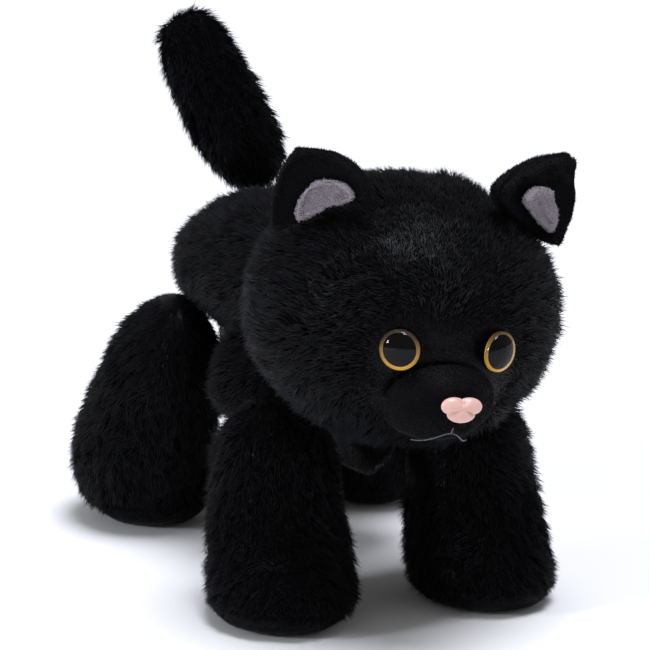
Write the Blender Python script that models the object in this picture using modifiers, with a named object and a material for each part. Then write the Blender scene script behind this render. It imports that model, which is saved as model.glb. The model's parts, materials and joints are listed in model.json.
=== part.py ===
"""A plush cat on four short legs: sewn pile panels over stuffing, safety eyes and a moulded nose.

It faces -Y with its left side at +X. Lengths are in metres and the paws stand on z = 0.
"""

import math

import bmesh
import bpy
from mathutils import Matrix, Vector

# ---- fabric and clearances ----
FABRIC = 0.0022               # wall of one panel: backing and laid pile
VELOUR = 0.0016               # the short pile of the muzzle
SEAM_GAP = 0.0006             # between two panels along a seam
FILL_GAP = 0.0008             # between a panel and the stuffing behind it
FIT_GAP = 0.0004              # between a moulded piece and its neighbour
SNAP = 0.0005                 # points nearer a seam than this are moved onto it
RING_POINTS = 10              # points round one ring of the head's and the trunk's cage
LIMB_POINTS = 8               # and of a leg's or the tail's
TURN_STEPS = 16               # facets round a moulded piece

# ---- head, measured from the neck pivot ----
HEAD_WIDTH = 0.086
HEAD_HEIGHT = 0.0745
HEAD_LENGTH = 0.082
HEAD_FORWARD = 0.036          # neck pivot to the middle of the head
HEAD_RISE = 0.011
GUSSET_WIDTH = 0.026
CHEEK_SEAM_Z = 0.004          # where the crown gusset ends and the chin panel starts
NECK_HOLE = 0.0245            # radius of the opening sewn to the body
HEAD_TURN = math.radians(-4)
HEAD_NOD = math.radians(4)
HEAD_TILT = math.radians(4.8)

# ---- eyes, nose and mouth ----
EYE_DIAMETER = 0.0105
EYE_DOME = 0.0034
EYE_SPACING = 0.0252
EYE_HEIGHT = 0.0105           # above the neck pivot
EYE_SPLAY = math.radians(32)
PUPIL_SHARE = 0.74
SHANK_DIAMETER = 0.0032
SHANK_LENGTH = 0.0105
WASHER_DIAMETER = 0.0095
WASHER_THICKNESS = 0.0012
NOSE_WIDTH = 0.0118
NOSE_HEIGHT = 0.0078
NOSE_DEPTH = 0.0042
NOSE_DROP = 0.0135            # below the middle of the head
NOSE_SEAT = 0.96              # share of the muzzle's depth at which the nose sits
MUZZLE_WIDTH = 0.0345
MUZZLE_HEIGHT = 0.0265
MUZZLE_DEPTH = 0.0220
MUZZLE_DROP = 0.0138
MUZZLE_FORWARD = 0.0275       # ahead of the middle of the head
MUZZLE_SINK = 0.0016          # its flat rim, behind the plane that touches the face
MOUTH_WIDTH = 0.0150
MOUTH_DROP = 0.0085            # ends of the mouth, below the middle of the muzzle
MOUTH_CURVE = 0.0022
THREAD_DIAMETER = 0.0008

# ---- ears ----
EAR_WIDTH = 0.0245
EAR_HEIGHT = 0.0166
EAR_FORWARD = 0.0105          # ear's root ahead of the middle of the head
EAR_SPREAD = 0.0272           # ear's root from the middle plane
EAR_CUP = 0.0045
EAR_LEAN = {"left": math.radians(37), "right": math.radians(29)}
EAR_TURN = math.radians(26)   # how far each ear faces outwards
EAR_TIP_SHIFT = {1: -0.0012, -1: 0.0028}   # tip towards the middle of the head, by side
EAR_CLOTH = 0.0016
EAR_ROOT_GAP = 0.0016         # between the ear's lower edge and the crown
PATCH_WIDTH_SHARE = 0.60      # of the ear's own width
PATCH_HEIGHT_SHARE = 0.42
PATCH_INWARD = 0.0012         # patch's middle, towards the middle of the head

# ---- trunk ----
NECK_Y = 0.024
NECK_Z = 0.078
NECK_BALL = 0.0205            # the trunk's rounded front, about the neck pivot
NECK_MOUTH = 0.0150
NECK_PLUG = 0.0105
TRUNK_WIDTH = 0.064
TRUNK_HEIGHT = 0.043
TRUNK_FLOOR = 0.059           # lowest line of the barrel, above the underbody
UNDERBODY_DEPTH = 0.027
CHEST_TOP = 0.0415            # top of the chest under the chin, at the shoulder's line
CHEST_SLOPE = math.radians(26)
UNDERBODY_WIDTH = 0.079       # between the front and hind legs
KEEL_HALF_FRONT = 0.0087      # half width of the underbody between the front legs
KEEL_HALF_HIND = 0.0150

# ---- legs ----
LEG_SPAN = 0.085              # shoulder pivot to hip pivot
LEG_GAP = 0.0012              # between a leg and the underbody
SHOULDER_Y = 0.014
SHOULDER_Z = 0.0405
FRONT_LEG_WIDTH = 0.036
FRONT_LEG_DEPTH = 0.039
FRONT_LEG_CROWN = 0.0165      # top of the leg above its pivot, clear of the head
FRONT_PAW_WIDTH = 0.041
FRONT_PAW_LENGTH = 0.047
FRONT_PAW_FORWARD = 0.016
FRONT_PAW_OUT = {"left": -0.0014, "right": 0.0043}   # each paw stands this far outside its shoulder
HIP_Z = 0.0460
HIND_LEG_WIDTH = 0.035
HIND_LEG_DEPTH = 0.050
HIND_LEG_CROWN = 0.0268
HIND_LEG_LEAN = 0.0078        # top of the haunch ahead of the hip
HIND_LEG_TAPER = 0.0055       # top of the haunch narrower, on its outer side
HIND_LEG_BULGE = 0.0050       # haunch wider and deeper than the leg's own line
HIND_PAW_WIDTH = 0.0415
HIND_PAW_LENGTH = 0.0485
HIND_PAW_FORWARD = -0.012
SOLE_RISE = 0.0060            # height of the seam round each paw
SOLE_SHARE = 0.72             # where the sole starts to round up, as a share of the paw
SOLE_FLAT = 0.44              # flat middle of the sole, as a share of the paw

# ---- tail ----
TAIL_THICKNESS = 0.0230
TAIL_LENGTH = 0.0460
TAIL_BACK = 0.0185            # pivot behind the hip pivots
TAIL_Z = 0.1078
TAIL_TIP_BACK = 0.0160
TAIL_TIP_SIDE = -0.0162

# ---- small trim ----
LABEL_SIZE = (0.014, 0.018, 0.0006)
STITCH_DIAMETER = 0.0007
STITCH_PITCH = 0.0052
STITCH_WIDTH = 0.0036
STITCH_COUNT = 7

# ---- values worked out from the sizes above ----
FRONT_LEG_X = KEEL_HALF_FRONT + LEG_GAP + FRONT_LEG_WIDTH / 2
HIND_LEG_X = KEEL_HALF_HIND + LEG_GAP + HIND_LEG_WIDTH / 2
HIP_Y = SHOULDER_Y + LEG_SPAN
HEAD_MIDDLE = Vector((0, -HEAD_FORWARD, HEAD_RISE))
CENTRE_SHIFT = Vector((0.0, -0.0376, 0.0))   # brings the middle of the cat's length to y = 0

parts = None
guides = None


def clear_scene():
    for obj in list(bpy.data.objects):
        bpy.data.objects.remove(obj, do_unlink=True)


def new_collection(name):
    group = bpy.data.collections.new(name)
    bpy.context.scene.collection.children.link(group)
    return group


def material(name, colour, roughness, metallic=0.0):
    mat = bpy.data.materials.new(name)
    mat.use_nodes = True
    shader = mat.node_tree.nodes["Principled BSDF"]
    shader.inputs["Base Color"].default_value = (*colour, 1.0)
    shader.inputs["Roughness"].default_value = roughness
    shader.inputs["Metallic"].default_value = metallic
    return mat


def add_object(name, bm, group, mat=None, parent=None):
    mesh = bpy.data.meshes.new(name)
    bm.to_mesh(mesh)
    bm.free()
    obj = bpy.data.objects.new(name, mesh)
    group.objects.link(obj)
    obj.parent = parent
    if mat:
        mesh.materials.append(mat)
        mesh.shade_smooth()
        mesh.set_sharp_from_angle(angle=math.radians(40))
    if group is guides:
        obj.hide_render = True
        obj.display_type = "WIRE"
    return obj


def pivot(name, location, parent=None, rotation=(0, 0, 0)):
    empty = bpy.data.objects.new(name, None)
    parts.objects.link(empty)
    empty.empty_display_size = 0.01
    empty.location = location
    empty.rotation_euler = rotation
    empty.parent = parent
    return empty


def evaluated_bmesh(obj):
    depsgraph = bpy.context.evaluated_depsgraph_get()
    bm = bmesh.new()
    bm.from_object(obj, depsgraph)
    return bm


def apply_modifiers(obj):
    bm = evaluated_bmesh(obj)
    obj.modifiers.clear()
    bm.to_mesh(obj.data)
    bm.free()


# ---- soft forms: the outer shape of each stuffed piece ----

def ring_cage(rings, points, open_start, open_end):
    """A sphere's rings moved to the given ones: (centre, half axis a, half axis b), poles with none."""
    growth = 1 / (0.75 + 0.25 * math.cos(math.tau / points))
    bm = bmesh.new()
    bmesh.ops.create_uvsphere(bm, u_segments=points, v_segments=len(rings) - 1, radius=1)
    heights = sorted({round(v.co.z, 5) for v in bm.verts}, reverse=True)
    poles = {}
    for vert in bm.verts:
        index = heights.index(round(vert.co.z, 5))
        centre, axis_a, axis_b = rings[index]
        if axis_a is None:
            poles[index] = vert
            vert.co = centre
            continue
        angle = math.atan2(vert.co.y, vert.co.x)
        vert.co = centre + (axis_a * math.cos(angle) + axis_b * math.sin(angle)) * growth
    bm.normal_update()
    bmesh.ops.recalc_face_normals(bm, faces=bm.faces)
    if open_start:
        bmesh.ops.delete(bm, geom=[poles[0]], context="VERTS")
    if open_end:
        bmesh.ops.delete(bm, geom=[poles[len(rings) - 1]], context="VERTS")
    return bm


def soft_form(name, rings, points=RING_POINTS, open_start=False, open_end=False):
    """The smooth skin of a soft piece, and a coarse core with its points on that skin."""
    skin = add_object(f"{name}_form", ring_cage(rings, points, open_start, open_end), guides)
    core = add_object(f"{name}_core", ring_cage(rings, points, open_start, open_end), guides)
    smooth = skin.modifiers.new("smooth", "SUBSURF")
    smooth.levels = 1
    smooth.render_levels = 1
    apply_modifiers(skin)
    for coarse, fine in zip(core.data.vertices, skin.data.vertices):
        coarse.co = fine.co
    return skin, core


def shrink(bm, distance):
    """Moves every point inwards along its normal."""
    bm.normal_update()
    moves = [(vert, vert.normal * -distance) for vert in bm.verts]
    for vert, move in moves:
        vert.co += move


def cut_away(bm, point, normal, gap, cap=False):
    """Keeps what lies behind the plane, less the gap, with points near the plane moved onto it."""
    normal = normal.normalized()
    place = point - normal * gap
    for vert in bm.verts:
        off = (vert.co - place).dot(normal)
        if abs(off) < SNAP:
            vert.co -= normal * off
    geom = bm.verts[:] + bm.edges[:] + bm.faces[:]
    found = bmesh.ops.bisect_plane(
        bm, geom=geom, dist=1e-6, plane_co=place, plane_no=normal, clear_outer=True
    )
    if cap:
        edges = [e for e in found["geom_cut"] if isinstance(e, bmesh.types.BMEdge)]
        bmesh.ops.holes_fill(bm, edges=edges, sides=0)


def panel(name, form, cuts, mat, parent, wall=FABRIC):
    """One cut panel of a form's skin, with its wall turned inwards."""
    bm = bmesh.new()
    bm.from_mesh(form[0].data)
    for point, normal in cuts:
        cut_away(bm, point, normal, SEAM_GAP / 2)
    obj = add_object(name, bm, parts, mat, parent)
    solid = obj.modifiers.new("wall", "SOLIDIFY")
    solid.thickness = wall
    solid.offset = -1
    apply_modifiers(obj)
    for point, normal in cuts:
        square_edge(obj, point, normal.normalized())
    return obj


def square_edge(obj, point, normal):
    """Brings the wall's edge back to its side of the seam, where the skin leans across it."""
    place = point - normal * SEAM_GAP / 2
    for vert in obj.data.vertices:
        over = (vert.co - place).dot(normal)
        if over > 0:
            vert.co -= normal * over


def filling(name, form, mat, parent, cuts=(), inset=None):
    """The stuffing inside a form, closed where the form is open or cut."""
    bm = bmesh.new()
    bm.from_mesh(form[1].data)
    shrink(bm, FABRIC + FILL_GAP if inset is None else inset)
    holes = [edge for edge in bm.edges if edge.is_boundary]
    if holes:
        bmesh.ops.holes_fill(bm, edges=holes, sides=0)
    for point, normal in cuts:
        cut_away(bm, point, normal, 0, cap=True)
    bmesh.ops.recalc_face_normals(bm, faces=bm.faces)
    return add_object(name, bm, parts, mat, parent)


def cutter_ball(name, place, radius, parent=None):
    bm = bmesh.new()
    bmesh.ops.create_uvsphere(bm, u_segments=20, v_segments=12, radius=radius)
    bmesh.ops.translate(bm, verts=bm.verts, vec=place)
    return add_object(name, bm, guides, parent=parent)


def cutter_rod(name, radius, length, matrix, parent=None):
    bm = bmesh.new()
    bmesh.ops.create_cone(
        bm, cap_ends=True, segments=TURN_STEPS, radius1=radius, radius2=radius, depth=length, matrix=matrix
    )
    return add_object(name, bm, guides, parent=parent)


def boolean(obj, tool, operation="DIFFERENCE"):
    cut = obj.modifiers.new(operation.lower(), "BOOLEAN")
    cut.operation = operation
    cut.object = tool
    cut.solver = "EXACT"


def thread_tube(name, route, diameter, mat, parent):
    """A sewing thread along a route of points, with closed ends."""
    curve = bpy.data.curves.new(name, "CURVE")
    curve.dimensions = "3D"
    curve.bevel_depth = diameter / 2
    curve.bevel_resolution = 1
    curve.use_fill_caps = True
    spline = curve.splines.new("POLY")
    spline.points.add(len(route) - 1)
    for point, place in zip(spline.points, route):
        point.co = (*place, 1)
    tube = bpy.data.objects.new(f"{name}_curve", curve)
    guides.objects.link(tube)
    depsgraph = bpy.context.evaluated_depsgraph_get()
    bm = bmesh.new()
    bm.from_mesh(bpy.data.meshes.new_from_object(tube.evaluated_get(depsgraph)))
    bmesh.ops.remove_doubles(bm, verts=bm.verts, dist=0.00001)
    bpy.data.objects.remove(tube)
    return add_object(name, bm, parts, mat, parent)


# ---- turned pieces: a profile about the local Z axis ----

def turned(name, profile, matrix, mat, parent, closed=False):
    """A turned solid from a profile of (radius, height), listed down its outer side."""
    bm = bmesh.new()
    verts = [bm.verts.new((radius, 0, height)) for radius, height in profile]
    for first, second in zip(verts, verts[1:]):
        bm.edges.new((first, second))
    if closed:
        bm.edges.new((verts[-1], verts[0]))
    obj = add_object(name, bm, parts, mat, parent)
    screw = obj.modifiers.new("turn", "SCREW")
    screw.steps = TURN_STEPS
    screw.render_steps = TURN_STEPS
    screw.use_merge_vertices = True
    screw.merge_threshold = 0.00001
    apply_modifiers(obj)
    bm = bmesh.new()
    bm.from_mesh(obj.data)
    bmesh.ops.transform(bm, matrix=matrix, verts=bm.verts)
    bmesh.ops.recalc_face_normals(bm, faces=bm.faces)
    bm.to_mesh(obj.data)
    bm.free()
    obj.data.shade_smooth()
    obj.data.set_sharp_from_angle(angle=math.radians(40))
    return obj


def facing(place, direction, up=Vector((0, 0, 1))):
    """A matrix whose Z axis is the direction and whose Y axis is near up."""
    z_axis = direction.normalized()
    x_axis = up.cross(z_axis).normalized()
    y_axis = z_axis.cross(x_axis)
    turn = Matrix((x_axis, y_axis, z_axis)).transposed().to_4x4()
    return Matrix.Translation(place) @ turn


# ---- head ----

def head_surface(side, height):
    """Distance ahead of the head's middle at which its skin lies, at a side and a height from it."""
    left = 1 - (side / (HEAD_WIDTH / 2)) ** 2 - (height / (HEAD_HEIGHT / 2)) ** 2
    return HEAD_LENGTH / 2 * math.sqrt(max(left, 0.02))


def head_form():
    half_x = HEAD_WIDTH / 2
    half_y = HEAD_LENGTH / 2
    half_z = HEAD_HEIGHT / 2
    rings = [(HEAD_MIDDLE + Vector((0, -half_y, 0)), None, None)]
    for degrees in (22, 44, 66, 90, 112, 131):
        angle = math.radians(degrees)
        sink = 0.0 if degrees < 120 else HEAD_RISE / 3
        middle = HEAD_MIDDLE + Vector((0, -half_y * math.cos(angle), -sink))
        across = Vector((half_x * math.sin(angle), 0, 0))
        upward = Vector((0, 0, half_z * math.sin(angle)))
        rings.append((middle, across, upward))
    hole = Vector((0, -0.0015, 0.0015))
    rings.append((hole, Vector((NECK_HOLE, 0, 0)), Vector((0, 0, NECK_HOLE))))
    rings.append((hole, None, None))
    return soft_form("head", rings, open_end=True)


def eye_frame(side):
    """Place and direction of an eye: its seat on the head's skin, facing out and forwards."""
    across = side * EYE_SPACING / 2
    height = EYE_HEIGHT - HEAD_RISE
    ahead = head_surface(across, height)
    place = HEAD_MIDDLE + Vector((across, -ahead, height))
    direction = Vector((side * math.sin(EYE_SPLAY), -math.cos(EYE_SPLAY), 0.04))
    return facing(place, direction)


def nose_frame():
    ahead = MUZZLE_FORWARD + MUZZLE_DEPTH * NOSE_SEAT
    place = HEAD_MIDDLE + Vector((0, -ahead, -NOSE_DROP))
    return facing(place, Vector((0, -1, 0.10)))


def make_head(fur, velour, stuffing, parent):
    form = head_form()
    middle = Vector((0, 0, 0))
    seam = GUSSET_WIDTH / 2
    left = Vector((seam, 0, 0))
    right = Vector((-seam, 0, 0))
    level = Vector((0, 0, HEAD_RISE + CHEEK_SEAM_Z - HEAD_HEIGHT / 6))
    out_x = Vector((1, 0, 0))
    out_z = Vector((0, 0, 1))
    panels = [
        panel("head_side_left", form, [(left, -out_x)], fur, parent),
        panel("head_side_right", form, [(right, out_x)], fur, parent),
        panel("head_crown_gusset", form, [(left, out_x), (right, -out_x), (level, -out_z)], fur, parent),
        panel("head_chin_panel", form, [(left, out_x), (right, -out_x), (level, out_z)], fur, parent),
    ]
    fill = filling("head_stuffing", form, stuffing, parent)
    hollow = cutter_ball("neck_clearance", middle, NECK_BALL + 0.0025, parent)
    boolean(fill, hollow)
    for side, word in ((1, "left"), (-1, "right")):
        frame = eye_frame(side)
        radius = EYE_DIAMETER / 2 + FIT_GAP
        socket = cutter_rod(f"eye_socket_{word}", radius, 0.012, frame @ Matrix.Translation((0, 0, 0.0048)), parent)
        shank = SHANK_DIAMETER / 2 + FIT_GAP
        bore = cutter_rod(f"eye_bore_{word}", shank, 0.03, frame, parent)
        well_radius = WASHER_DIAMETER / 2 + FIT_GAP
        well_depth = SHANK_LENGTH + FABRIC
        well_place = frame @ Matrix.Translation((0, 0, -FABRIC - well_depth / 2 + 0.002))
        well = cutter_rod(f"eye_well_{word}", well_radius, well_depth, well_place, parent)
        for piece in panels:
            if word in piece.name or "gusset" in piece.name or "chin" in piece.name:
                boolean(piece, socket)
                boolean(piece, bore)
        boolean(fill, well)
    nose = nose_frame()
    bore = cutter_rod("nose_bore", SHANK_DIAMETER / 2 + FIT_GAP, 0.06, nose, parent)
    well_depth = 0.034
    well_place = nose @ Matrix.Translation((0, 0, -well_depth / 2 - 0.006))
    well = cutter_rod("nose_well", WASHER_DIAMETER / 2 + FIT_GAP, well_depth, well_place, parent)
    boolean(panels[2], bore)
    boolean(panels[3], bore)
    boolean(fill, well)
    muzzle = make_muzzle(velour, parent)
    boolean(muzzle, bore)


def make_muzzle(velour, parent):
    """The short pile cap round the nose, open at the back where it is sewn to the face."""
    middle = HEAD_MIDDLE + Vector((0, -MUZZLE_FORWARD, -MUZZLE_DROP))
    rings = [(middle + Vector((0, -MUZZLE_DEPTH, 0)), None, None)]
    for degrees in (24, 46, 68, 90, 125):
        angle = math.radians(degrees)
        across = Vector((MUZZLE_WIDTH / 2 * math.sin(angle), 0, 0))
        upward = Vector((0, 0, MUZZLE_HEIGHT / 2 * math.sin(angle)))
        rings.append((middle + Vector((0, -MUZZLE_DEPTH * math.cos(angle), 0)), across, upward))
    rings.append((middle + Vector((0, MUZZLE_DEPTH, 0)), None, None))
    form = soft_form("muzzle", rings)
    ahead = head_surface(0, -MUZZLE_DROP)
    inwards = Vector((0, ahead / (HEAD_LENGTH / 2) ** 2, MUZZLE_DROP / (HEAD_HEIGHT / 2) ** 2)).normalized()
    rim = HEAD_MIDDLE + Vector((0, -ahead, -MUZZLE_DROP)) + inwards * MUZZLE_SINK
    return panel("muzzle_cover", form, [(rim, inwards)], velour, parent, wall=VELOUR)


def make_eye(side, word, plastics, parent):
    lens_mat, iris_mat, back_mat, washer_mat = plastics
    frame = eye_frame(side)
    radius = EYE_DIAMETER / 2
    pupil = radius * PUPIL_SHARE
    shank = SHANK_DIAMETER / 2
    base = 0.0009
    backing = [
        (0, base + 0.0006),
        (pupil - 0.0003, base + 0.0006),
        (pupil, base + 0.0003),
        (pupil, base),
        (radius, base),
        (radius, 0),
        (shank, 0),
        (shank, -SHANK_LENGTH + 0.0006),
        (shank - 0.0005, -SHANK_LENGTH),
        (0, -SHANK_LENGTH),
    ]
    seat = frame @ Matrix.Translation((0, 0, -0.0006))
    turned(f"eye_backing_{word}", backing, seat, back_mat, parent)
    ring = base + 0.0003
    iris = [
        (pupil + 0.0002, ring + 0.0003),
        (radius - 0.0002, ring + 0.0003),
        (radius - 0.0002, ring),
        (pupil + 0.0002, ring),
    ]
    turned(f"eye_iris_{word}", iris, seat, iris_mat, parent, closed=True)
    lens_floor = base + 0.0010
    dome = []
    for step in range(7):
        angle = math.radians(90 - 15 * step)
        dome.append((radius * math.cos(angle), lens_floor + 0.0005 + EYE_DOME * 0.75 * math.sin(angle)))
    dome[0] = (0, dome[0][1])
    dome += [(radius, lens_floor), (0, lens_floor)]
    turned(f"eye_lens_{word}", dome, seat, lens_mat, parent)
    make_washer(f"eye_washer_{word}", seat, -SHANK_LENGTH + 0.0035, washer_mat, parent)


def make_washer(name, seat, height, mat, parent):
    inner = SHANK_DIAMETER / 2 + FIT_GAP
    outer = WASHER_DIAMETER / 2
    ring = [
        (inner, height + WASHER_THICKNESS),
        (outer, height + WASHER_THICKNESS),
        (outer, height),
        (inner, height),
    ]
    turned(name, ring, seat, mat, parent, closed=True)


def make_nose(pink, washer_mat, parent):
    """A three lobed button, two lobes above and one below, with its shank behind it."""
    frame = nose_frame()
    bm = bmesh.new()
    bmesh.ops.create_uvsphere(bm, u_segments=24, v_segments=8, radius=1)
    for vert in bm.verts:
        angle = math.atan2(vert.co.y, vert.co.x)
        lobes = 0.90 + 0.13 * math.cos(3 * (angle + math.pi / 2))
        wide = vert.co.x * lobes * NOSE_WIDTH / 2
        high = vert.co.y * lobes * NOSE_HEIGHT / 2
        groove = 1 - 0.22 * math.exp(-((wide / 0.0011) ** 2)) * (vert.co.z > 0)
        deep = vert.co.z * NOSE_DEPTH / 2 * groove
        vert.co = (wide, high, deep + NOSE_DEPTH / 2 + FIT_GAP + 0.0010)
    bmesh.ops.transform(bm, matrix=frame, verts=bm.verts)
    nose = add_object("nose", bm, parts, pink, parent)
    through = MUZZLE_FORWARD + MUZZLE_DEPTH * NOSE_SEAT - head_surface(0, -NOSE_DROP) + FABRIC
    length = through + 0.0125
    buried = 0.003
    shank_place = frame @ Matrix.Translation((0, 0, buried - (length + buried) / 2))
    shank = cutter_rod("nose_shank", SHANK_DIAMETER / 2, length + buried, shank_place, parent)
    boolean(nose, shank, "UNION")
    make_washer("nose_washer", frame, -through - 0.0088, washer_mat, parent)


def over_muzzle(side, drop):
    """A point of thread laid on the muzzle, in the head's frame."""
    lift = THREAD_DIAMETER / 2 + 0.0006
    inside = 1 - (side / (MUZZLE_WIDTH / 2 + lift)) ** 2 - (drop / (MUZZLE_HEIGHT / 2 + lift)) ** 2
    ahead = (MUZZLE_DEPTH + lift) * math.sqrt(inside)
    return HEAD_MIDDLE + Vector((side, -MUZZLE_FORWARD - ahead, drop - MUZZLE_DROP))


def make_mouth(thread, parent):
    """An upturned Y of thick thread laid over the muzzle."""
    route = []
    for step in range(13):
        share = step / 12 - 0.5
        route.append(over_muzzle(share * MOUTH_WIDTH, MOUTH_CURVE * math.cos(math.tau * share) - MOUTH_DROP))
    mouth = thread_tube("mouth_thread", route, THREAD_DIAMETER, thread, parent)
    fork = over_muzzle(0, MOUTH_CURVE - MOUTH_DROP)
    top = over_muzzle(0, MUZZLE_DROP - NOSE_DROP - NOSE_HEIGHT * 0.515 - THREAD_DIAMETER / 2 - FIT_GAP)
    place = facing((fork + top) / 2, top - fork, Vector((1, 0, 0)))
    stem = cutter_rod("mouth_stem", THREAD_DIAMETER * 0.45, (top - fork).length, place, parent)
    boolean(mouth, stem, "UNION")


# ---- ears ----

def ear_root(side):
    """Middle of the line along which an ear is sewn to the crown, in the head's frame."""
    across = side * EAR_SPREAD
    share = 1 - (EAR_SPREAD / (HEAD_WIDTH / 2)) ** 2 - (EAR_FORWARD / (HEAD_LENGTH / 2)) ** 2
    height = HEAD_HEIGHT / 2 * math.sqrt(share) + EAR_ROOT_GAP
    return HEAD_MIDDLE + Vector((across, -EAR_FORWARD, height))


def ear_sheet(name, side, share, tall, depth, wall, mat, parent, inward=0.0):
    """A cupped rounded triangle: share and tall scale its outline, depth moves it forwards."""
    bm = bmesh.new()
    bmesh.ops.create_grid(bm, x_segments=6, y_segments=5, size=0.5)
    root_lift = EAR_HEIGHT * (1 - tall) * 0.03
    for vert in bm.verts:
        across = vert.co.x * 2
        up = vert.co.y + 0.5
        half = EAR_WIDTH / 2 * share * (1 - up ** 2.0) ** 0.56 + 0.0016 * share
        wide = across * half
        high = root_lift + up * EAR_HEIGHT * tall * (1 - 0.10 * across * across)
        cup = EAR_CUP * (((wide - inward) / (EAR_WIDTH / 2)) ** 2) * (1 - 0.5 * high / EAR_HEIGHT)
        lean = -EAR_TIP_SHIFT[side] * (high / EAR_HEIGHT) - inward
        vert.co = (side * (wide + lean), -cup - depth, high)
    if side < 0:
        bmesh.ops.reverse_faces(bm, faces=bm.faces)
    obj = add_object(name, bm, parts, mat, parent)
    solid = obj.modifiers.new("wall", "SOLIDIFY")
    solid.thickness = wall
    solid.offset = 0
    return obj


def make_ear(side, word, velour, patch, head):
    """Back and front cloth with a pale patch, on a pivot along the ear's root."""
    hinge = pivot(f"ear_{word}_pivot", ear_root(side), head, (0, side * EAR_LEAN[word], side * EAR_TURN))
    step = EAR_CLOTH + 0.0006
    ear_sheet(f"ear_back_{word}", side, 1.0, 1.0, -step / 2, EAR_CLOTH, velour, hinge)
    ear_sheet(f"ear_front_{word}", side, 0.96, 0.96, step / 2, EAR_CLOTH, velour, hinge)
    patch_depth = step / 2 + EAR_CLOTH / 2 + 0.0012
    shares = (PATCH_WIDTH_SHARE, PATCH_HEIGHT_SHARE)
    ear_sheet(f"ear_patch_{word}", side, *shares, patch_depth, 0.0010, patch, hinge, PATCH_INWARD)


# ---- trunk ----

def trunk_form():
    """The barrel from the neck to the rump, its underside on one level line."""
    half = TRUNK_HEIGHT / 2
    wide = TRUNK_WIDTH / 2
    front = NECK_BALL
    mouth_back = math.sqrt(front ** 2 - NECK_MOUTH ** 2)
    rings = [(Vector((0, NECK_Y - mouth_back, NECK_Z)), None, None)]
    round_rings = (
        (NECK_Y - mouth_back, NECK_MOUTH),
        (NECK_Y - front * 0.42, front * 0.907),
        (NECK_Y + front * 0.10, front),
    )
    for y, radius in round_rings:
        rings.append((Vector((0, y, NECK_Z)), Vector((radius, 0, 0)), Vector((0, 0, radius))))
    rest = HIP_Y - NECK_Y
    sections = (
        (0.25, 0.82, 0.93, 0.0),
        (0.47, 0.95, 1.00, 0.0),
        (0.72, 1.00, 0.99, 0.0003),
        (0.98, 0.93, 0.94, 0.0010),
        (1.20, 0.76, 0.76, 0.0026),
        (1.36, 0.48, 0.48, 0.0042),
    )
    for share, width, height, sink in sections:
        middle = Vector((0, NECK_Y + rest * share, TRUNK_FLOOR + half - sink))
        rings.append((middle, Vector((wide * width, 0, 0)), Vector((0, 0, half * height))))
    last = rings[-1][0] + Vector((0, rest * 0.05, 0))
    rings.append((last, None, None))
    return soft_form("trunk", rings, open_start=True)


def underbody_form():
    """The gusset under the belly: narrow between each pair of legs, full between the pairs."""
    top = TRUNK_FLOOR - FIT_GAP * 2
    deep = UNDERBODY_DEPTH
    front = KEEL_HALF_FRONT
    hind = KEEL_HALF_HIND
    sections = (
        (SHOULDER_Y - 0.008, front * 0.70, 0.70),
        (SHOULDER_Y, front, 1.0),
        (SHOULDER_Y + 0.016, front, 1.0),
        (SHOULDER_Y + LEG_SPAN * 0.42, UNDERBODY_WIDTH / 2 * 0.86, 0.92),
        (SHOULDER_Y + LEG_SPAN * 0.56, UNDERBODY_WIDTH / 2 * 0.66, 0.88),
        (SHOULDER_Y + LEG_SPAN * 0.76, hind, 0.92),
        (HIP_Y + 0.006, hind, 0.95),
        (HIP_Y + 0.020, hind * 0.75, 0.80),
    )
    rings = [(Vector((0, sections[0][0] - 0.003, top)), None, None)]
    for y, half, share in sections:
        rings.append((Vector((0, y, top)), Vector((half, 0, 0)), Vector((0, 0, deep * share))))
    rings.append((Vector((0, sections[-1][0] + 0.004, top)), None, None))
    return soft_form("underbody", rings, LIMB_POINTS)


def make_trunk(fur, stuffing, bag, label, thread, parent):
    form = trunk_form()
    out_x = Vector((1, 0, 0))
    middle = Vector((0, 0, 0))
    panel("trunk_side_left", form, [(middle, -out_x)], fur, parent)
    panel("trunk_side_right", form, [(middle, out_x)], fur, parent)
    fill = filling("trunk_stuffing", form, stuffing, parent)
    neck = Vector((0, NECK_Y, NECK_Z))
    boolean(fill, cutter_ball("neck_plug_room", neck, NECK_PLUG + 0.0012, parent))
    throat_place = Matrix.Translation(neck + Vector((0, -0.02, 0))) @ Matrix.Rotation(math.pi / 2, 4, "X")
    boolean(fill, cutter_rod("neck_throat", NECK_PLUG * 0.9, 0.04, throat_place, parent))
    under = underbody_form()
    top = Vector((0, 0, TRUNK_FLOOR - FIT_GAP * 2))
    chest = Vector((0, SHOULDER_Y - 0.012, CHEST_TOP))
    chest_out = Vector((0, -math.sin(CHEST_SLOPE), math.cos(CHEST_SLOPE)))
    cuts = [(top, Vector((0, 0, 1))), (chest, chest_out)]
    panel("underbody_gusset", under, cuts, fur, parent)
    lower = [(point - normal * FILL_GAP, normal) for point, normal in cuts]
    filling("pellet_bag", under, bag, parent, cuts=lower)
    make_label(label, parent)
    make_closing_seam(thread, parent)


def make_label(mat, parent):
    """A blank care label hanging from the seam under the tail."""
    wide, tall, thick = LABEL_SIZE
    bm = bmesh.new()
    bmesh.ops.create_cube(bm, size=1)
    bmesh.ops.scale(bm, vec=(wide, thick, tall), verts=bm.verts)
    back = HIP_Y + (HIP_Y - NECK_Y) * 0.37 + 0.0042
    bmesh.ops.translate(bm, verts=bm.verts, vec=(0, back, TRUNK_FLOOR + 0.004))
    add_object("care_label", bm, parts, mat, parent)


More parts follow.
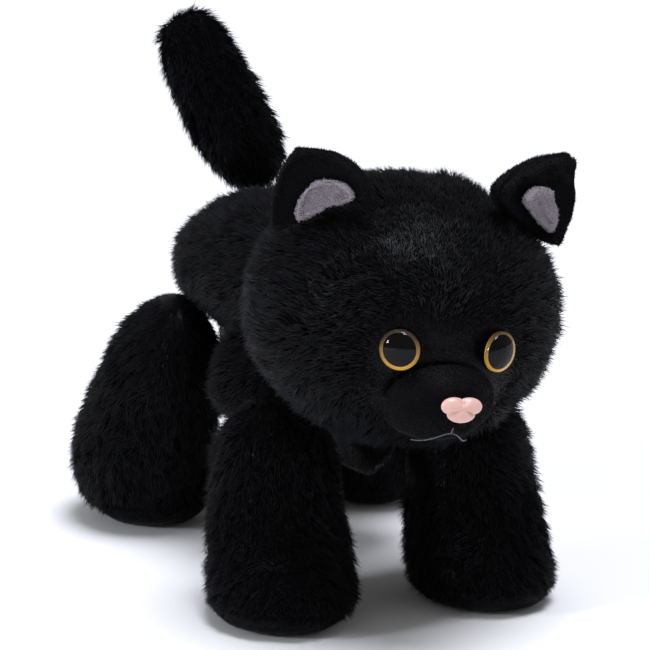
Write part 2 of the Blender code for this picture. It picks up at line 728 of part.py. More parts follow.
def make_closing_seam(mat, parent):
    """The hand sewn thread that closes the underbody, zigzag along its middle line."""
    start = SHOULDER_Y + LEG_SPAN * 0.46 - STITCH_PITCH * (STITCH_COUNT - 1) / 2
    level = TRUNK_FLOOR - UNDERBODY_DEPTH - 0.0011
    route = []
    for index in range(STITCH_COUNT):
        side = STITCH_WIDTH / 2 * (-1) ** index
        route.append(Vector((side, start + STITCH_PITCH * index, level)))
    thread_tube("closing_thread", route, STITCH_DIAMETER, mat, parent)


# ---- legs ----

def leg_form(
    name, side, width, depth, crown, paw_width, paw_length, forward, height, lean, taper, bulge, outward
):
    """Hip ball, shank and paw: rings from the ball's top down to the flat sole, about the pivot."""
    rings = [(Vector((-side * taper / 2, -lean, crown)), None, None)]
    for degrees in (33, 66):
        angle = math.radians(degrees)
        slim = taper / 2 * math.cos(angle)
        middle = Vector((-side * slim, -lean * math.cos(angle), crown * math.cos(angle)))
        across = Vector((width / 2 * math.sin(angle) - slim, 0, 0))
        along = Vector((0, depth / 2 * math.sin(angle), 0))
        rings.append((middle, across, along))
    ball_foot = -0.10 * depth
    sole = -height
    lower = (
        (0.0, width, depth, 0.0, bulge * 0.4),
        (0.46, (width + paw_width) / 2, depth, 0.50, bulge),
        (0.74, paw_width, paw_length, 0.95, -bulge * 0.2),
        (0.94, paw_width * 0.93, paw_length * 0.94, 1.0, -bulge * 1.2),
        (1.0, paw_width * SOLE_SHARE, paw_length * SOLE_SHARE, 1.0, -bulge * 0.9),
        (1.0, paw_width * SOLE_FLAT, paw_length * SOLE_FLAT, 1.0, 0.0),
    )
    for share, wide, long, step, swell in lower:
        drop = ball_foot + (sole - ball_foot) * share
        middle = Vector((side * (outward * step + swell / 2), -forward * step + swell / 2, drop))
        wide += swell
        long += swell
        rings.append((middle, Vector((wide / 2, 0, 0)), Vector((0, long / 2, 0))))
    rings.append((Vector((side * outward, -forward, sole)), None, None))
    return soft_form(name, rings, LIMB_POINTS)


def make_leg(prefix, side, word, sizes, mats, hip):
    fur, stuffing = mats
    name = f"{prefix}_leg_{word}"
    form = leg_form(name, side, *sizes)
    outward = sizes[-1]
    height = sizes[-5]
    out_x = Vector((side, 0, 0))
    seam = Vector((side * outward / 2, 0, 0))
    foot = Vector((0, 0, -height + SOLE_RISE))
    down = Vector((0, 0, 1))
    panel(f"{name}_outer", form, [(seam, -out_x), (foot, -down)], fur, hip)
    panel(f"{name}_inner", form, [(seam, out_x), (foot, -down)], fur, hip)
    panel(f"{prefix}_paw_sole_{word}", form, [(foot, down)], fur, hip)
    filling(f"{name}_stuffing", form, stuffing, hip)


def make_legs(mats, parent):
    front = (
        FRONT_LEG_WIDTH,
        FRONT_LEG_DEPTH,
        FRONT_LEG_CROWN,
        FRONT_PAW_WIDTH,
        FRONT_PAW_LENGTH,
        FRONT_PAW_FORWARD,
        SHOULDER_Z,
        0.0,
        0.0,
        0.0,
    )
    hind = (
        HIND_LEG_WIDTH,
        HIND_LEG_DEPTH,
        HIND_LEG_CROWN,
        HIND_PAW_WIDTH,
        HIND_PAW_LENGTH,
        HIND_PAW_FORWARD,
        HIP_Z,
        HIND_LEG_LEAN,
        HIND_LEG_TAPER,
        HIND_LEG_BULGE,
        (HIND_PAW_WIDTH - HIND_LEG_WIDTH) / 2,
    )
    for side, word in ((1, "left"), (-1, "right")):
        shoulder = pivot(f"shoulder_{word}_pivot", (side * FRONT_LEG_X, SHOULDER_Y, SHOULDER_Z), parent)
        make_leg("front", side, word, (*front, FRONT_PAW_OUT[word]), mats, shoulder)
        hip = pivot(f"hip_{word}_pivot", (side * HIND_LEG_X, HIP_Y, HIP_Z), parent)
        make_leg("hind", side, word, hind, mats, hip)


# ---- tail and neck ----

def make_tail(fur, stuffing, parent):
    hinge = pivot("tail_pivot", (0, HIP_Y + TAIL_BACK, TAIL_Z), parent)
    half = TAIL_THICKNESS / 2
    tip = Vector((TAIL_TIP_SIDE, TAIL_TIP_BACK, 0))
    tip.z = math.sqrt(TAIL_LENGTH ** 2 - tip.x ** 2 - tip.y ** 2)
    along = tip.normalized()
    across = along.cross(Vector((0, 1, 0))).normalized()
    back = along.cross(across).normalized()
    rings = [(along * -half, None, None)]
    rings.append((along * (-half * 0.7), across * half * 0.70, back * half * 0.70))
    for share, swell in ((0.05, 1.10), (0.32, 1.04), (0.62, 0.92), (0.88, 0.80), (0.97, 0.48)):
        sway = Vector((0, 0.0035 * math.sin(math.pi * share), 0))
        radius = half * swell
        rings.append((tip * share + sway, across * radius, back * radius))
    rings.append((tip * 0.99, None, None))
    form = soft_form("tail", rings, LIMB_POINTS)
    middle = tip * 0.5
    panel("tail_panel_left", form, [(middle, -across)], fur, hinge)
    panel("tail_panel_right", form, [(middle, across)], fur, hinge)
    filling("tail_stuffing", form, stuffing, hinge)


def make_neck(stuffing, parent):
    """The tied plug of stuffing on which the head turns and nods."""
    bm = bmesh.new()
    bmesh.ops.create_uvsphere(bm, u_segments=16, v_segments=10, radius=NECK_PLUG)
    add_object("neck_plug", bm, parts, stuffing, parent)


def main():
    global parts, guides
    clear_scene()
    parts = new_collection("plush_cat")
    guides = new_collection("guides")
    fur = material("black_pile", (0.012, 0.012, 0.014), 0.85)
    velour = material("black_velour", (0.020, 0.020, 0.022), 0.90)
    patch = material("lilac_grey_velour", (0.50, 0.45, 0.47), 0.90)
    stuffing = material("polyester_fill", (0.85, 0.85, 0.83), 0.95)
    bag = material("pellet_bag_cloth", (0.60, 0.58, 0.52), 0.90)
    pink = material("pink_nose_plastic", (0.78, 0.47, 0.40), 0.30)
    lens = material("clear_acrylic", (0.90, 0.90, 0.88), 0.05)
    iris = material("amber_paint", (0.72, 0.40, 0.05), 0.35)
    black = material("black_plastic", (0.010, 0.010, 0.010), 0.25)
    washer = material("washer_plastic", (0.75, 0.75, 0.72), 0.50)
    thread = material("grey_thread", (0.45, 0.45, 0.45), 0.80)
    label = material("label_satin", (0.85, 0.85, 0.85), 0.60)

    cat = pivot("cat_frame", CENTRE_SHIFT)
    make_trunk(fur, stuffing, bag, label, thread, cat)
    make_legs((fur, stuffing), cat)
    make_tail(fur, stuffing, cat)
    neck = pivot("neck_pivot", (0, NECK_Y, NECK_Z), cat)
    make_neck(stuffing, neck)
    head = pivot("head_pivot", (0, 0, 0), neck, (HEAD_NOD, HEAD_TILT, HEAD_TURN))
    make_head(fur, velour, stuffing, head)
    make_nose(pink, washer, head)
    make_mouth(thread, head)
    for side, word in ((1, "left"), (-1, "right")):
        make_eye(side, word, (lens, iris, black, washer), head)
        make_ear(side, word, velour, patch, head)
    bpy.context.view_layer.update()


main()
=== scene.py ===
"""Sews the looks of a plush cat onto its packed solids: long pile, velour, eyes, nose and thread.

Lengths are in metres. The cat faces -Y with its left side at +X and stands on z = 0.
"""

import json
import math

import bmesh
import bpy
import numpy as np
from mathutils import Matrix, Vector, geometry, noise


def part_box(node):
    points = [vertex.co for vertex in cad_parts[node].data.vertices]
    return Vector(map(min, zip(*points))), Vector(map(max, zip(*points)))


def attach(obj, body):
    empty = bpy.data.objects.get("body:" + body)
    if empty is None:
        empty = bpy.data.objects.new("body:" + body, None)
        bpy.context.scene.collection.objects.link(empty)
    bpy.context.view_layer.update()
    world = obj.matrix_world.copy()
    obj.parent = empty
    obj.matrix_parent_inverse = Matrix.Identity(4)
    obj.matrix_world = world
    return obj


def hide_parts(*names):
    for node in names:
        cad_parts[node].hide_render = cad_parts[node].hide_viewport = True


bl_info = {
    "name": "Plush Cat Maker",
    "version": (1, 0, 0),
    "blender": (4, 5, 0),
    "location": "3D View > Sidebar > Plush Cat",
    "description": "Sews pile, velour, eyes, nose and thread onto a packed plush cat",
    "category": "Object",
}

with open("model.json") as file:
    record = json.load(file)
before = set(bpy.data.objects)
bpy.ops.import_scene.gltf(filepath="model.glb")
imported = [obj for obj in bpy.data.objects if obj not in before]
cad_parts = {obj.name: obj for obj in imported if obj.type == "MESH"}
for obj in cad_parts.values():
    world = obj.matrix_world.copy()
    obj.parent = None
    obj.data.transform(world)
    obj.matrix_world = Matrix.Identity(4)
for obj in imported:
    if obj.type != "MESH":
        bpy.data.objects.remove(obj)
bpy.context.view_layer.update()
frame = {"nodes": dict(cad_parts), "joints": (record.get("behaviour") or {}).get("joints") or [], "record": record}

NODES = frame["nodes"]
JOINTS = {joint["name"]: joint for joint in frame["joints"]}
BODIES = frame["record"]["behaviour"]["bodies"]
SIDES = ("left", "right")
UV_NAME = "OFBake"            # a map of each tuft from root to tip, which its colour follows

# ---- the camera and the studio ----
CAMERA_TARGET = Vector((-0.0042, 0.0024, 0.0705))
CAMERA_DISTANCE = 0.9
CAMERA_AZIMUTH = math.radians(-20.5)
CAMERA_RISE = math.radians(12.5)
CAMERA_LENS = 177.4

# ---- how a panel is read ----
CUT_EDGE = math.radians(42)   # edges sharper than this are a panel's cut edges
OUTER = 0.30                  # faces that look away from the core at least this much carry pile
FLANK_RISE = 0.0085           # the belly's sides reach this far up the trunk
FLANK_PULL = 0.12             # and this share of their width inwards
SEAM_CLOSING = 0.00055        # how far each panel reaches over its half of a seam's gap
BELLY_FULLNESS = 0.0075       # how far the filled belly rounds out between the legs
BELLY_FREE = (-0.006, 0.006, 0.030, 0.043)   # from where to where along the belly the legs leave it free
EAR_TALL = 0.016              # height of an ear above its fold
EAR_HALF = 0.0137             # half its width
EAR_SET = {                   # how the sewing pulls each ear: taller, tip moved, root spread and sunk
    "left": {"taller": 0.26, "lean": 0.0022, "inner": 0.50, "outer": -0.16, "sink": 0.0050},
    "right": {"taller": 0.02, "lean": -0.0041, "inner": 0.0, "outer": 0.0, "sink": 0.0008},
}
NOSE_LIFT = 0.0010            # how far the nose sits above its pin
NOSE_ASIDE = 0.0007           # and to its left
EAR_HOLD = 0.35               # how firmly smoothing keeps an ear's rim
PAINT = 0.00008               # paint and moulding bite this far into the dome, so no air shows between


def linear(colour):
    """An sRGB hex colour as linear red, green, blue and alpha."""
    parts = [int(colour[start:start + 2], 16) / 255 for start in (1, 3, 5)]
    lit = [part / 12.92 if part <= 0.04045 else ((part + 0.055) / 1.055) ** 2.4 for part in parts]
    return (*lit, 1.0)


def add(tree, kind, inputs=(), **settings):
    """Adds a node, with its settings, and links or fills the named or numbered inputs."""
    node = tree.nodes.new(kind)
    for name, value in settings.items():
        setattr(node, name, value)
    for key, value in dict(inputs).items():
        if isinstance(value, bpy.types.NodeSocket):
            tree.links.new(value, node.inputs[key])
        else:
            node.inputs[key].default_value = value
    return node


# ---- what a user may change ----

def size(name, text, default):
    return bpy.props.FloatProperty(name=name, description=text, default=default, unit="LENGTH", precision=5)


def share(name, text, default):
    return bpy.props.FloatProperty(name=name, description=text, default=default, subtype="FACTOR")


def tint(name, text, default):
    return bpy.props.FloatVectorProperty(
        name=name, description=text, default=linear(default), subtype="COLOR", size=4, min=0, max=1
    )


class PlushPile(bpy.types.PropertyGroup):
    """Sizes of the long pile and of the velour."""

    length: size("Pile length", "Length of a tuft of the long pile", 0.0048)
    width: size("Tuft width", "Width of a tuft at its root", 0.00036)
    spacing: size("Tuft spacing", "Least distance between two tufts", 0.00031)
    clump: size("Clump size", "Distance between the clumps that tufts gather in", 0.0040)
    gather: share("Gather", "How far the tips of a clump come together", 0.92)
    lean: bpy.props.FloatProperty(name="Lean", description="How far the pile lies over", default=1.15)
    ruffle: share("Ruffle", "How far tufts stray from the nap", 0.36)
    swirl: share("Swirl", "How far the nap wanders from place to place", 1.00)
    velour_length: size("Velour length", "Length of the short pile", 0.0008)
    velour_width: size("Velour width", "Width of a tuft of the short pile", 0.00026)
    velour_spacing: size("Velour spacing", "Least distance between two short tufts", 0.00028)
    seed: bpy.props.IntProperty(name="Seed", description="Start of the random numbers", default=7)


class PlushFace(bpy.types.PropertyGroup):
    """Sizes of the eyes, nose and mouth."""

    pupil: share("Pupil", "Width of the pupil as a share of the eye", 0.77)
    nose_groove: share("Nose groove", "Depth of the creases between the nose's lobes", 0.55)
    thread: size("Mouth thread", "Thickness of the mouth's thread", 0.00035)
    trim: size("Trimmed ring", "How far round an eye the pile is clipped", 0.0050)


class PlushColours(bpy.types.PropertyGroup):
    """Colours of the fabrics and the moulded pieces."""

    # The root colour is painted shade down among the tufts and the tip colour a painted sheen.
    pile_root: tint("Pile root", "Colour at the root of the long pile", "#030304")
    pile_tip: tint("Pile tip", "Colour at the tip of the long pile", "#0d0d11")
    # The velour's and the patch's colours are their tufts' tip colours, which carry the painted sheen.
    velour: tint("Velour", "Colour of the ears and the muzzle", "#17171b")
    patch: tint("Ear patch", "Colour of the patches inside the ears", "#bbb3ba")
    nose: tint("Nose", "Colour of the moulded nose", "#e0aea2")
    # The ring's brightest amber, which its painted light gives to the bottom of the ring.
    amber: tint("Amber", "Colour of the ring round each pupil", "#ffc23c")
    thread: tint("Thread", "Colour of the mouth's thread", "#5c5c60")


def pile_sizes():
    return bpy.context.scene.plush_pile


def face_sizes():
    return bpy.context.scene.plush_face


def colours():
    return bpy.context.scene.plush_colours


# ---- materials ----

def new_material(name, **values):
    """A material with its Principled shader's own sockets set, and the tree to add nodes to."""
    mat = bpy.data.materials.new(name)
    mat.use_nodes = True
    shader = mat.node_tree.nodes["Principled BSDF"]
    for key, value in values.items():
        shader.inputs[key.replace("_", " ").title().replace("Ior", "IOR")].default_value = value
    return mat, mat.node_tree, shader


def object_noise(tree, scale, detail=3.0, **inputs):
    """Noise in the object's own coordinates, its scale in cells per metre."""
    place = add(tree, "ShaderNodeTexCoord")
    values = {"Vector": place.outputs["Object"], "Scale": scale, "Detail": detail}
    values.update({key.title(): value for key, value in inputs.items()})
    return add(tree, "ShaderNodeTexNoise", values)


def bump(tree, shader, height, strength, distance):
    made = add(tree, "ShaderNodeBump", {"Height": height, "Strength": strength, "Distance": distance})
    tree.links.new(made.outputs["Normal"], shader.inputs["Normal"])


def tuft_material(name, root, tip, roughness, gloss, sheen, sheen_tint):
    """Polyester pile: dark at the root and a little lighter at the tip, each tuft its own shade."""
    mat, tree, shader = new_material(
        name, roughness=roughness, sheen_weight=sheen, sheen_roughness=0.42, sheen_tint=sheen_tint
    )
    shader.inputs["Specular IOR Level"].default_value = gloss
    along = add(tree, "ShaderNodeUVMap", uv_map=UV_NAME)
    parts = add(tree, "ShaderNodeSeparateXYZ", {"Vector": along.outputs["UV"]})
    shade = add(tree, "ShaderNodeTexNoise", {"W": parts.outputs["X"], "Scale": 90.0, "Detail": 1.0},
                noise_dimensions="1D")
    lift = add(tree, "ShaderNodeMapRange", {
        "Value": shade.outputs["Fac"], "From Min": 0.3, "From Max": 0.7, "To Min": 0.55, "To Max": 1.25,
    })
    # Painted shade and sheen: the colour runs from the dark root to the lighter tip along each tuft.
    rise = add(tree, "ShaderNodeMath", {0: parts.outputs["Y"], 1: lift.outputs["Result"]}, operation="MULTIPLY")
    colour = add(tree, "ShaderNodeMix", {"Factor": rise.outputs["Value"], "A": root, "B": tip},
                 data_type="RGBA")
    tree.links.new(colour.outputs["Result"], shader.inputs["Base Color"])
    return mat


def long_pile():
    """Knitted polyester plush: deep black with a cool grey sheen where it turns to the light."""
    return tuft_material("black_polyester_plush", colours().pile_root, colours().pile_tip, 0.37, 0.11, 0.02,
                         linear("#c9cede"))


def velour():
    """Shaved knitted velour: a shade greyer than the pile and quite matte."""
    return tuft_material("black_shaved_velour", colours().pile_root, colours().velour, 0.60, 0.07, 0.05,
                         linear("#c4c4cc"))


def patch_velour():
    """Shaved velour of the ear patches: a pale lilac grey with a soft halo."""
    # 8f878e is the patch's root colour, darker by painted shade.
    return tuft_material("lilac_grey_velour", linear("#8f878e"), colours().patch, 0.85, 0.07, 0.25,
                         linear("#ffffff"))


def moulded_pink():
    """Injection moulded vinyl, polished by its mould: a clear soft highlight and faint mottling."""
    mat, tree, shader = new_material("pink_moulded_vinyl", roughness=0.30, coat_weight=0.25,
                                     coat_roughness=0.22, subsurface_weight=0.12, subsurface_scale=0.002)
    mottle = object_noise(tree, 420.0)
    colour = add(tree, "ShaderNodeMix", {"Factor": mottle.outputs["Fac"], "A": colours().nose,
                                         "B": linear("#ecc3b6")}, data_type="RGBA")
    tree.links.new(colour.outputs["Result"], shader.inputs["Base Color"])
    bump(tree, shader, object_noise(tree, 2600.0).outputs["Fac"], 0.10, 0.0001)
    return mat


def clear_acrylic():
    """Acrylic dome of a safety eye: clear, with one small sharp light on it and few other reflections."""
    mat, tree, shader = new_material("clear_cast_acrylic", base_color=linear("#fffdf6"), ior=1.28,
                                     transmission_weight=1.0)
    haze = object_noise(tree, 300.0)
    rough = add(tree, "ShaderNodeMapRange", {"Value": haze.outputs["Fac"], "To Min": 0.01, "To Max": 0.03})
    tree.links.new(rough.outputs["Result"], shader.inputs["Roughness"])
    shader.inputs["Specular IOR Level"].default_value = 0.08
    return mat


def amber_paint(low, high):
    """Amber paint behind the dome, sprayed pale gold at the bottom and brown at the top."""
    mat, tree, shader = new_material("amber_ring_painted_light", roughness=0.5)
    place = add(tree, "ShaderNodeTexCoord")
    height = add(tree, "ShaderNodeSeparateXYZ", {"Vector": place.outputs["Object"]})
    # Painted light and shade: the ring is pale gold at the bottom and turns brown towards the top.
    rise = add(tree, "ShaderNodeMapRange", {"Value": height.outputs["Z"], "From Min": low, "From Max": high})
    flecks = object_noise(tree, 1500.0)
    flecks_and_painted_light = add(tree, "ShaderNodeMath", {0: flecks.outputs["Fac"], 1: 0.25, 2: rise.outputs["Result"]},
               operation="MULTIPLY_ADD")
    # 3a2508 is the painted shade brown at the ring's top.
    colour = add(tree, "ShaderNodeMix", {"Factor": flecks_and_painted_light.outputs["Value"], "A": colours().amber,
                                         "B": linear("#3a2508")}, data_type="RGBA")
    tree.links.new(colour.outputs["Result"], shader.inputs["Base Color"])
    return mat


def black_moulding():
    """Black nylon of the eye's back: bonded to the dome, so only its faint flow marks show."""
    mat, tree, shader = new_material("black_nylon", base_color=linear("#040405"))
    shader.inputs["Specular IOR Level"].default_value = 0.0
    flow = object_noise(tree, 260.0)
    rough = add(tree, "ShaderNodeMapRange", {"Value": flow.outputs["Fac"], "To Min": 0.30, "To Max": 0.45})
    tree.links.new(rough.outputs["Result"], shader.inputs["Roughness"])
    return mat


def washer_plastic():
    """Natural polypropylene of the lock washers: milky, with a fine moulded grain."""
    mat, tree, shader = new_material("natural_polypropylene", roughness=0.45)
    cloud = object_noise(tree, 500.0)
    colour = add(tree, "ShaderNodeMix", {"Factor": cloud.outputs["Fac"], "A": linear("#cfcdc6"),
                                         "B": linear("#e6e4de")}, data_type="RGBA")
    tree.links.new(colour.outputs["Result"], shader.inputs["Base Color"])
    bump(tree, shader, object_noise(tree, 3000.0).outputs["Fac"], 0.2, 0.0001)
    return mat


def sewing_thread():
    """Two ply polyester thread: pale grey, with a fine fibre grain along the plies."""
    mat, tree, shader = new_material("grey_polyester_thread", roughness=0.62, sheen_weight=0.2)
    fibres = object_noise(tree, 5200.0)
    colour = add(tree, "ShaderNodeMix", {"Factor": fibres.outputs["Fac"], "A": linear("#46464a"),
                                         "B": colours().thread}, data_type="RGBA")
    tree.links.new(colour.outputs["Result"], shader.inputs["Base Color"])
    bump(tree, shader, fibres.outputs["Fac"], 0.4, 0.00008)
    return mat


def fibre_fill():
    """Loose siliconised polyester fill: white, with soft hollows between its wisps."""
    mat, tree, shader = new_material("white_fibre_fill", roughness=0.9, sheen_weight=0.4)
    wisps = object_noise(tree, 240.0, 6.0, distortion=1.2)
    # Painted shade: where the wisps' noise is low, as in the hollows of the bump, the fill turns grey.
    colour = add(tree, "ShaderNodeMix", {"Factor": wisps.outputs["Fac"], "A": linear("#b9b9b6"),
                                         "B": linear("#f4f4f2")}, data_type="RGBA")
    tree.links.new(colour.outputs["Result"], shader.inputs["Base Color"])
    bump(tree, shader, wisps.outputs["Fac"], 0.6, 0.001)
    return mat


def bag_cloth():
    """Plain woven cotton of the bead bag: unbleached, with its weave 0.6 mm apart."""
    mat, tree, shader = new_material("unbleached_cotton", roughness=0.85)
    place = add(tree, "ShaderNodeTexCoord")
    threads = []
    for direction in ("X", "Y"):
        wave = add(tree, "ShaderNodeTexWave", {"Vector": place.outputs["Object"], "Scale": 260.0,
                                               "Distortion": 0.6}, bands_direction=direction)
        threads.append(wave.outputs["Fac"])
    weave = add(tree, "ShaderNodeMath", {0: threads[0], 1: threads[1]}, operation="MULTIPLY")
    colour = add(tree, "ShaderNodeMix", {"Factor": weave.outputs["Value"], "A": linear("#a89f8a"),
                                         "B": linear("#d8d0bc")}, data_type="RGBA")
    tree.links.new(colour.outputs["Result"], shader.inputs["Base Color"])
    bump(tree, shader, weave.outputs["Value"], 0.5, 0.0003)
    return mat


def label_satin():
    """Woven satin ribbon of the blank care label: white, with faint warp lines 0.4 mm apart."""
    mat, tree, shader = new_material("white_satin_ribbon", roughness=0.42, sheen_weight=0.3)
    place = add(tree, "ShaderNodeTexCoord")
    warp = add(tree, "ShaderNodeTexWave", {"Vector": place.outputs["Object"], "Scale": 400.0},
               bands_direction="X")
    colour = add(tree, "ShaderNodeMix", {"Factor": warp.outputs["Fac"], "A": linear("#dcdcd8"),
                                         "B": linear("#f6f6f4")}, data_type="RGBA")
    tree.links.new(colour.outputs["Result"], shader.inputs["Base Color"])
    bump(tree, shader, warp.outputs["Fac"], 0.25, 0.00008)
    return mat


# ---- the pile's tree: closed tufts rooted on a fabric ----

PILE_INPUTS = (
    ("Fabric", "NodeSocketGeometry"),
    ("Tufts per square metre", "NodeSocketFloat"),
    ("Spacing", "NodeSocketFloat"),
    ("Length", "NodeSocketFloat"),
    ("Width", "NodeSocketFloat"),
    ("Lean", "NodeSocketFloat"),
    ("Clump", "NodeSocketFloat"),
    ("Gather", "NodeSocketFloat"),
    ("Ruffle", "NodeSocketFloat"),
    ("Curl", "NodeSocketFloat"),
    ("Floor", "NodeSocketFloat"),
    ("Seed", "NodeSocketInt"),
    ("Pile", "NodeSocketMaterial"),
)


def math_node(tree, operation, *values):
    return add(tree, "ShaderNodeMath", dict(enumerate(values)), operation=operation).outputs["Value"]


def scaled(tree, vector, factor):
    return add(tree, "ShaderNodeVectorMath", {0: vector, "Scale": factor}, operation="SCALE").outputs["Vector"]


def summed(tree, *vectors):
    total = vectors[0]
    for vector in vectors[1:]:
        total = add(tree, "ShaderNodeVectorMath", {0: total, 1: vector}, operation="ADD").outputs["Vector"]
    return total


def named(tree, name, kind):
    return add(tree, "GeometryNodeInputNamedAttribute", {"Name": name}, data_type=kind).outputs["Attribute"]


def single_tuft(tree, given):
    """One closed three sided tuft, thick at its root, with its tip shifted towards +X."""
    cone = add(tree, "GeometryNodeMeshCone", {
        "Vertices": 3, "Side Segments": 1, "Radius Top": 0.0, "Depth": given["Length"],
        "Radius Bottom": math_node(tree, "MULTIPLY", given["Width"], 0.5),
    })
    place = add(tree, "ShaderNodeSeparateXYZ", {"Vector": add(tree, "GeometryNodeInputPosition").outputs[0]})
    rise = math_node(tree, "DIVIDE", place.outputs["Z"], given["Length"])
    bend = math_node(tree, "MULTIPLY", math_node(tree, "POWER", rise, 2.0), given["Length"])
    shift = add(tree, "ShaderNodeCombineXYZ", {
        "X": math_node(tree, "MULTIPLY", bend, given["Curl"]),
        "Z": math_node(tree, "MULTIPLY", bend, -0.12),
    })
    across = math_node(tree, "DIVIDE", place.outputs["X"], given["Width"])
    chart = add(tree, "ShaderNodeCombineXYZ", {
        "X": math_node(tree, "MULTIPLY_ADD", across, 0.03, 0.02),
        "Y": math_node(tree, "MULTIPLY_ADD", rise, 0.94, 0.03),
    })
    mapped = add(tree, "GeometryNodeStoreNamedAttribute", {
        "Geometry": cone.outputs["Mesh"], "Name": UV_NAME, "Value": chart.outputs["Vector"],
    }, data_type="FLOAT2", domain="CORNER")
    bent = add(tree, "GeometryNodeSetPosition", {
        "Geometry": mapped.outputs["Geometry"], "Offset": shift.outputs["Vector"],
    })
    return add(tree, "GeometryNodeSetShadeSmooth", {"Geometry": bent.outputs["Geometry"]}).outputs["Geometry"]


def nap_rotation(tree, given, normal):
    """Each tuft leans with the nap, gathers towards the middle of its clump and strays a little."""
    place = add(tree, "GeometryNodeInputPosition").outputs[0]
    nap = named(tree, "nap", "FLOAT_VECTOR")
    cells = add(tree, "ShaderNodeTexVoronoi", {
        "Vector": place, "Scale": math_node(tree, "DIVIDE", 1.0, given["Clump"]),
    })
    away = add(tree, "ShaderNodeVectorMath", {0: cells.outputs["Position"], 1: place}, operation="SUBTRACT")
    pull = scaled(tree, away.outputs["Vector"], math_node(tree, "DIVIDE", given["Gather"], given["Length"]))
    stray = add(tree, "FunctionNodeRandomValue", {
        0: (-1.0, -1.0, -1.0), 1: (1.0, 1.0, 1.0), "Seed": given["Seed"],
    }, data_type="FLOAT_VECTOR")
    stray = scaled(tree, stray.outputs[0], given["Ruffle"])
    direction = summed(tree, normal, scaled(tree, nap, given["Lean"]), pull, stray)
    upright = add(tree, "FunctionNodeAlignRotationToVector", {"Vector": direction}, axis="Z")
    turned = add(tree, "FunctionNodeAlignRotationToVector", {
        "Rotation": upright.outputs["Rotation"], "Vector": summed(tree, nap, stray),
    }, axis="X", pivot_axis="Z")
    return turned.outputs["Rotation"]


def above_floor(tree, shape, floor):
    """Pile that would reach through the floor lies flat on it."""
    place = add(tree, "ShaderNodeSeparateXYZ", {"Vector": add(tree, "GeometryNodeInputPosition").outputs[0]})
    kept = add(tree, "ShaderNodeCombineXYZ", {
        "X": place.outputs["X"], "Y": place.outputs["Y"],
        "Z": math_node(tree, "MAXIMUM", place.outputs["Z"], floor),
    })
    return add(tree, "GeometryNodeSetPosition", {"Geometry": shape, "Position": kept.outputs["Vector"]})


def pile_tree():
    """Roots tufts on the outer faces of a fabric and returns fabric and tufts as one real mesh."""
    tree = bpy.data.node_groups.new("Pile tufts", "GeometryNodeTree")
    for name, kind in PILE_INPUTS:
        tree.interface.new_socket(name, in_out="INPUT", socket_type=kind)
    tree.interface.new_socket("Plush", in_out="OUTPUT", socket_type="NodeSocketGeometry")
    given = add(tree, "NodeGroupInput").outputs
    roots = add(tree, "GeometryNodeDistributePointsOnFaces", {
        "Mesh": given["Fabric"], "Selection": named(tree, "outer", "BOOLEAN"),
        "Distance Min": given["Spacing"], "Density Max": given["Tufts per square metre"],
        "Seed": given["Seed"],
    }, distribute_method="POISSON")
    growth = add(tree, "FunctionNodeRandomValue", {2: 0.72, 3: 1.22, "Seed": given["Seed"]}, data_type="FLOAT")
    growth = math_node(tree, "MULTIPLY", growth.outputs[1], named(tree, "pile", "FLOAT"))
    tufts = add(tree, "GeometryNodeInstanceOnPoints", {
        "Points": roots.outputs["Points"], "Instance": single_tuft(tree, given),
        "Rotation": nap_rotation(tree, given, roots.outputs["Normal"]), "Scale": growth,
    })
    tone = add(tree, "FunctionNodeRandomValue", {2: 0.0, 3: 0.95, "Seed": given["Seed"]}, data_type="FLOAT")
    toned = add(tree, "GeometryNodeStoreNamedAttribute", {
        "Geometry": tufts.outputs["Instances"], "Name": "tone", "Value": tone.outputs[1],
    }, data_type="FLOAT", domain="INSTANCE")
    real = add(tree, "GeometryNodeRealizeInstances", {"Geometry": toned.outputs["Geometry"]})
    offset = add(tree, "ShaderNodeCombineXYZ", {"X": named(tree, "tone", "FLOAT")})
    spread = add(tree, "GeometryNodeStoreNamedAttribute", {
        "Geometry": real.outputs["Geometry"], "Name": UV_NAME,
        "Value": summed(tree, named(tree, UV_NAME, "FLOAT_VECTOR"), offset.outputs["Vector"]),
    }, data_type="FLOAT2", domain="CORNER")
    # The cloth's chart stays near the tufts' roots, so it takes their painted shade.
    place = add(tree, "ShaderNodeSeparateXYZ", {"Vector": add(tree, "GeometryNodeInputPosition").outputs[0]})
    along = math_node(tree, "ADD", place.outputs["X"], place.outputs["Y"])
    chart = add(tree, "ShaderNodeCombineXYZ", {
        "X": math_node(tree, "MULTIPLY_ADD", along, 1.5, 0.5),
        "Y": math_node(tree, "MULTIPLY_ADD", place.outputs["Z"], 0.2, 0.005),
    })
    fabric = add(tree, "GeometryNodeStoreNamedAttribute", {
        "Geometry": given["Fabric"], "Name": UV_NAME, "Value": chart.outputs["Vector"],
    }, data_type="FLOAT2", domain="CORNER")
    both = add(tree, "GeometryNodeJoinGeometry", {"Geometry": fabric.outputs["Geometry"]})
    tree.links.new(spread.outputs["Geometry"], both.inputs["Geometry"])
    level = above_floor(tree, both.outputs["Geometry"], given["Floor"])
    whole = add(tree, "GeometryNodeRealizeInstances", {"Geometry": level.outputs["Geometry"]})
    dressed = add(tree, "GeometryNodeSetMaterial", {
        "Geometry": whole.outputs["Geometry"], "Material": given["Pile"],
    })
    add(tree, "NodeGroupOutput", {"Plush": dressed.outputs["Geometry"]})
    return tree


def pile_group():
    return bpy.data.node_groups.get("Pile tufts") or pile_tree()


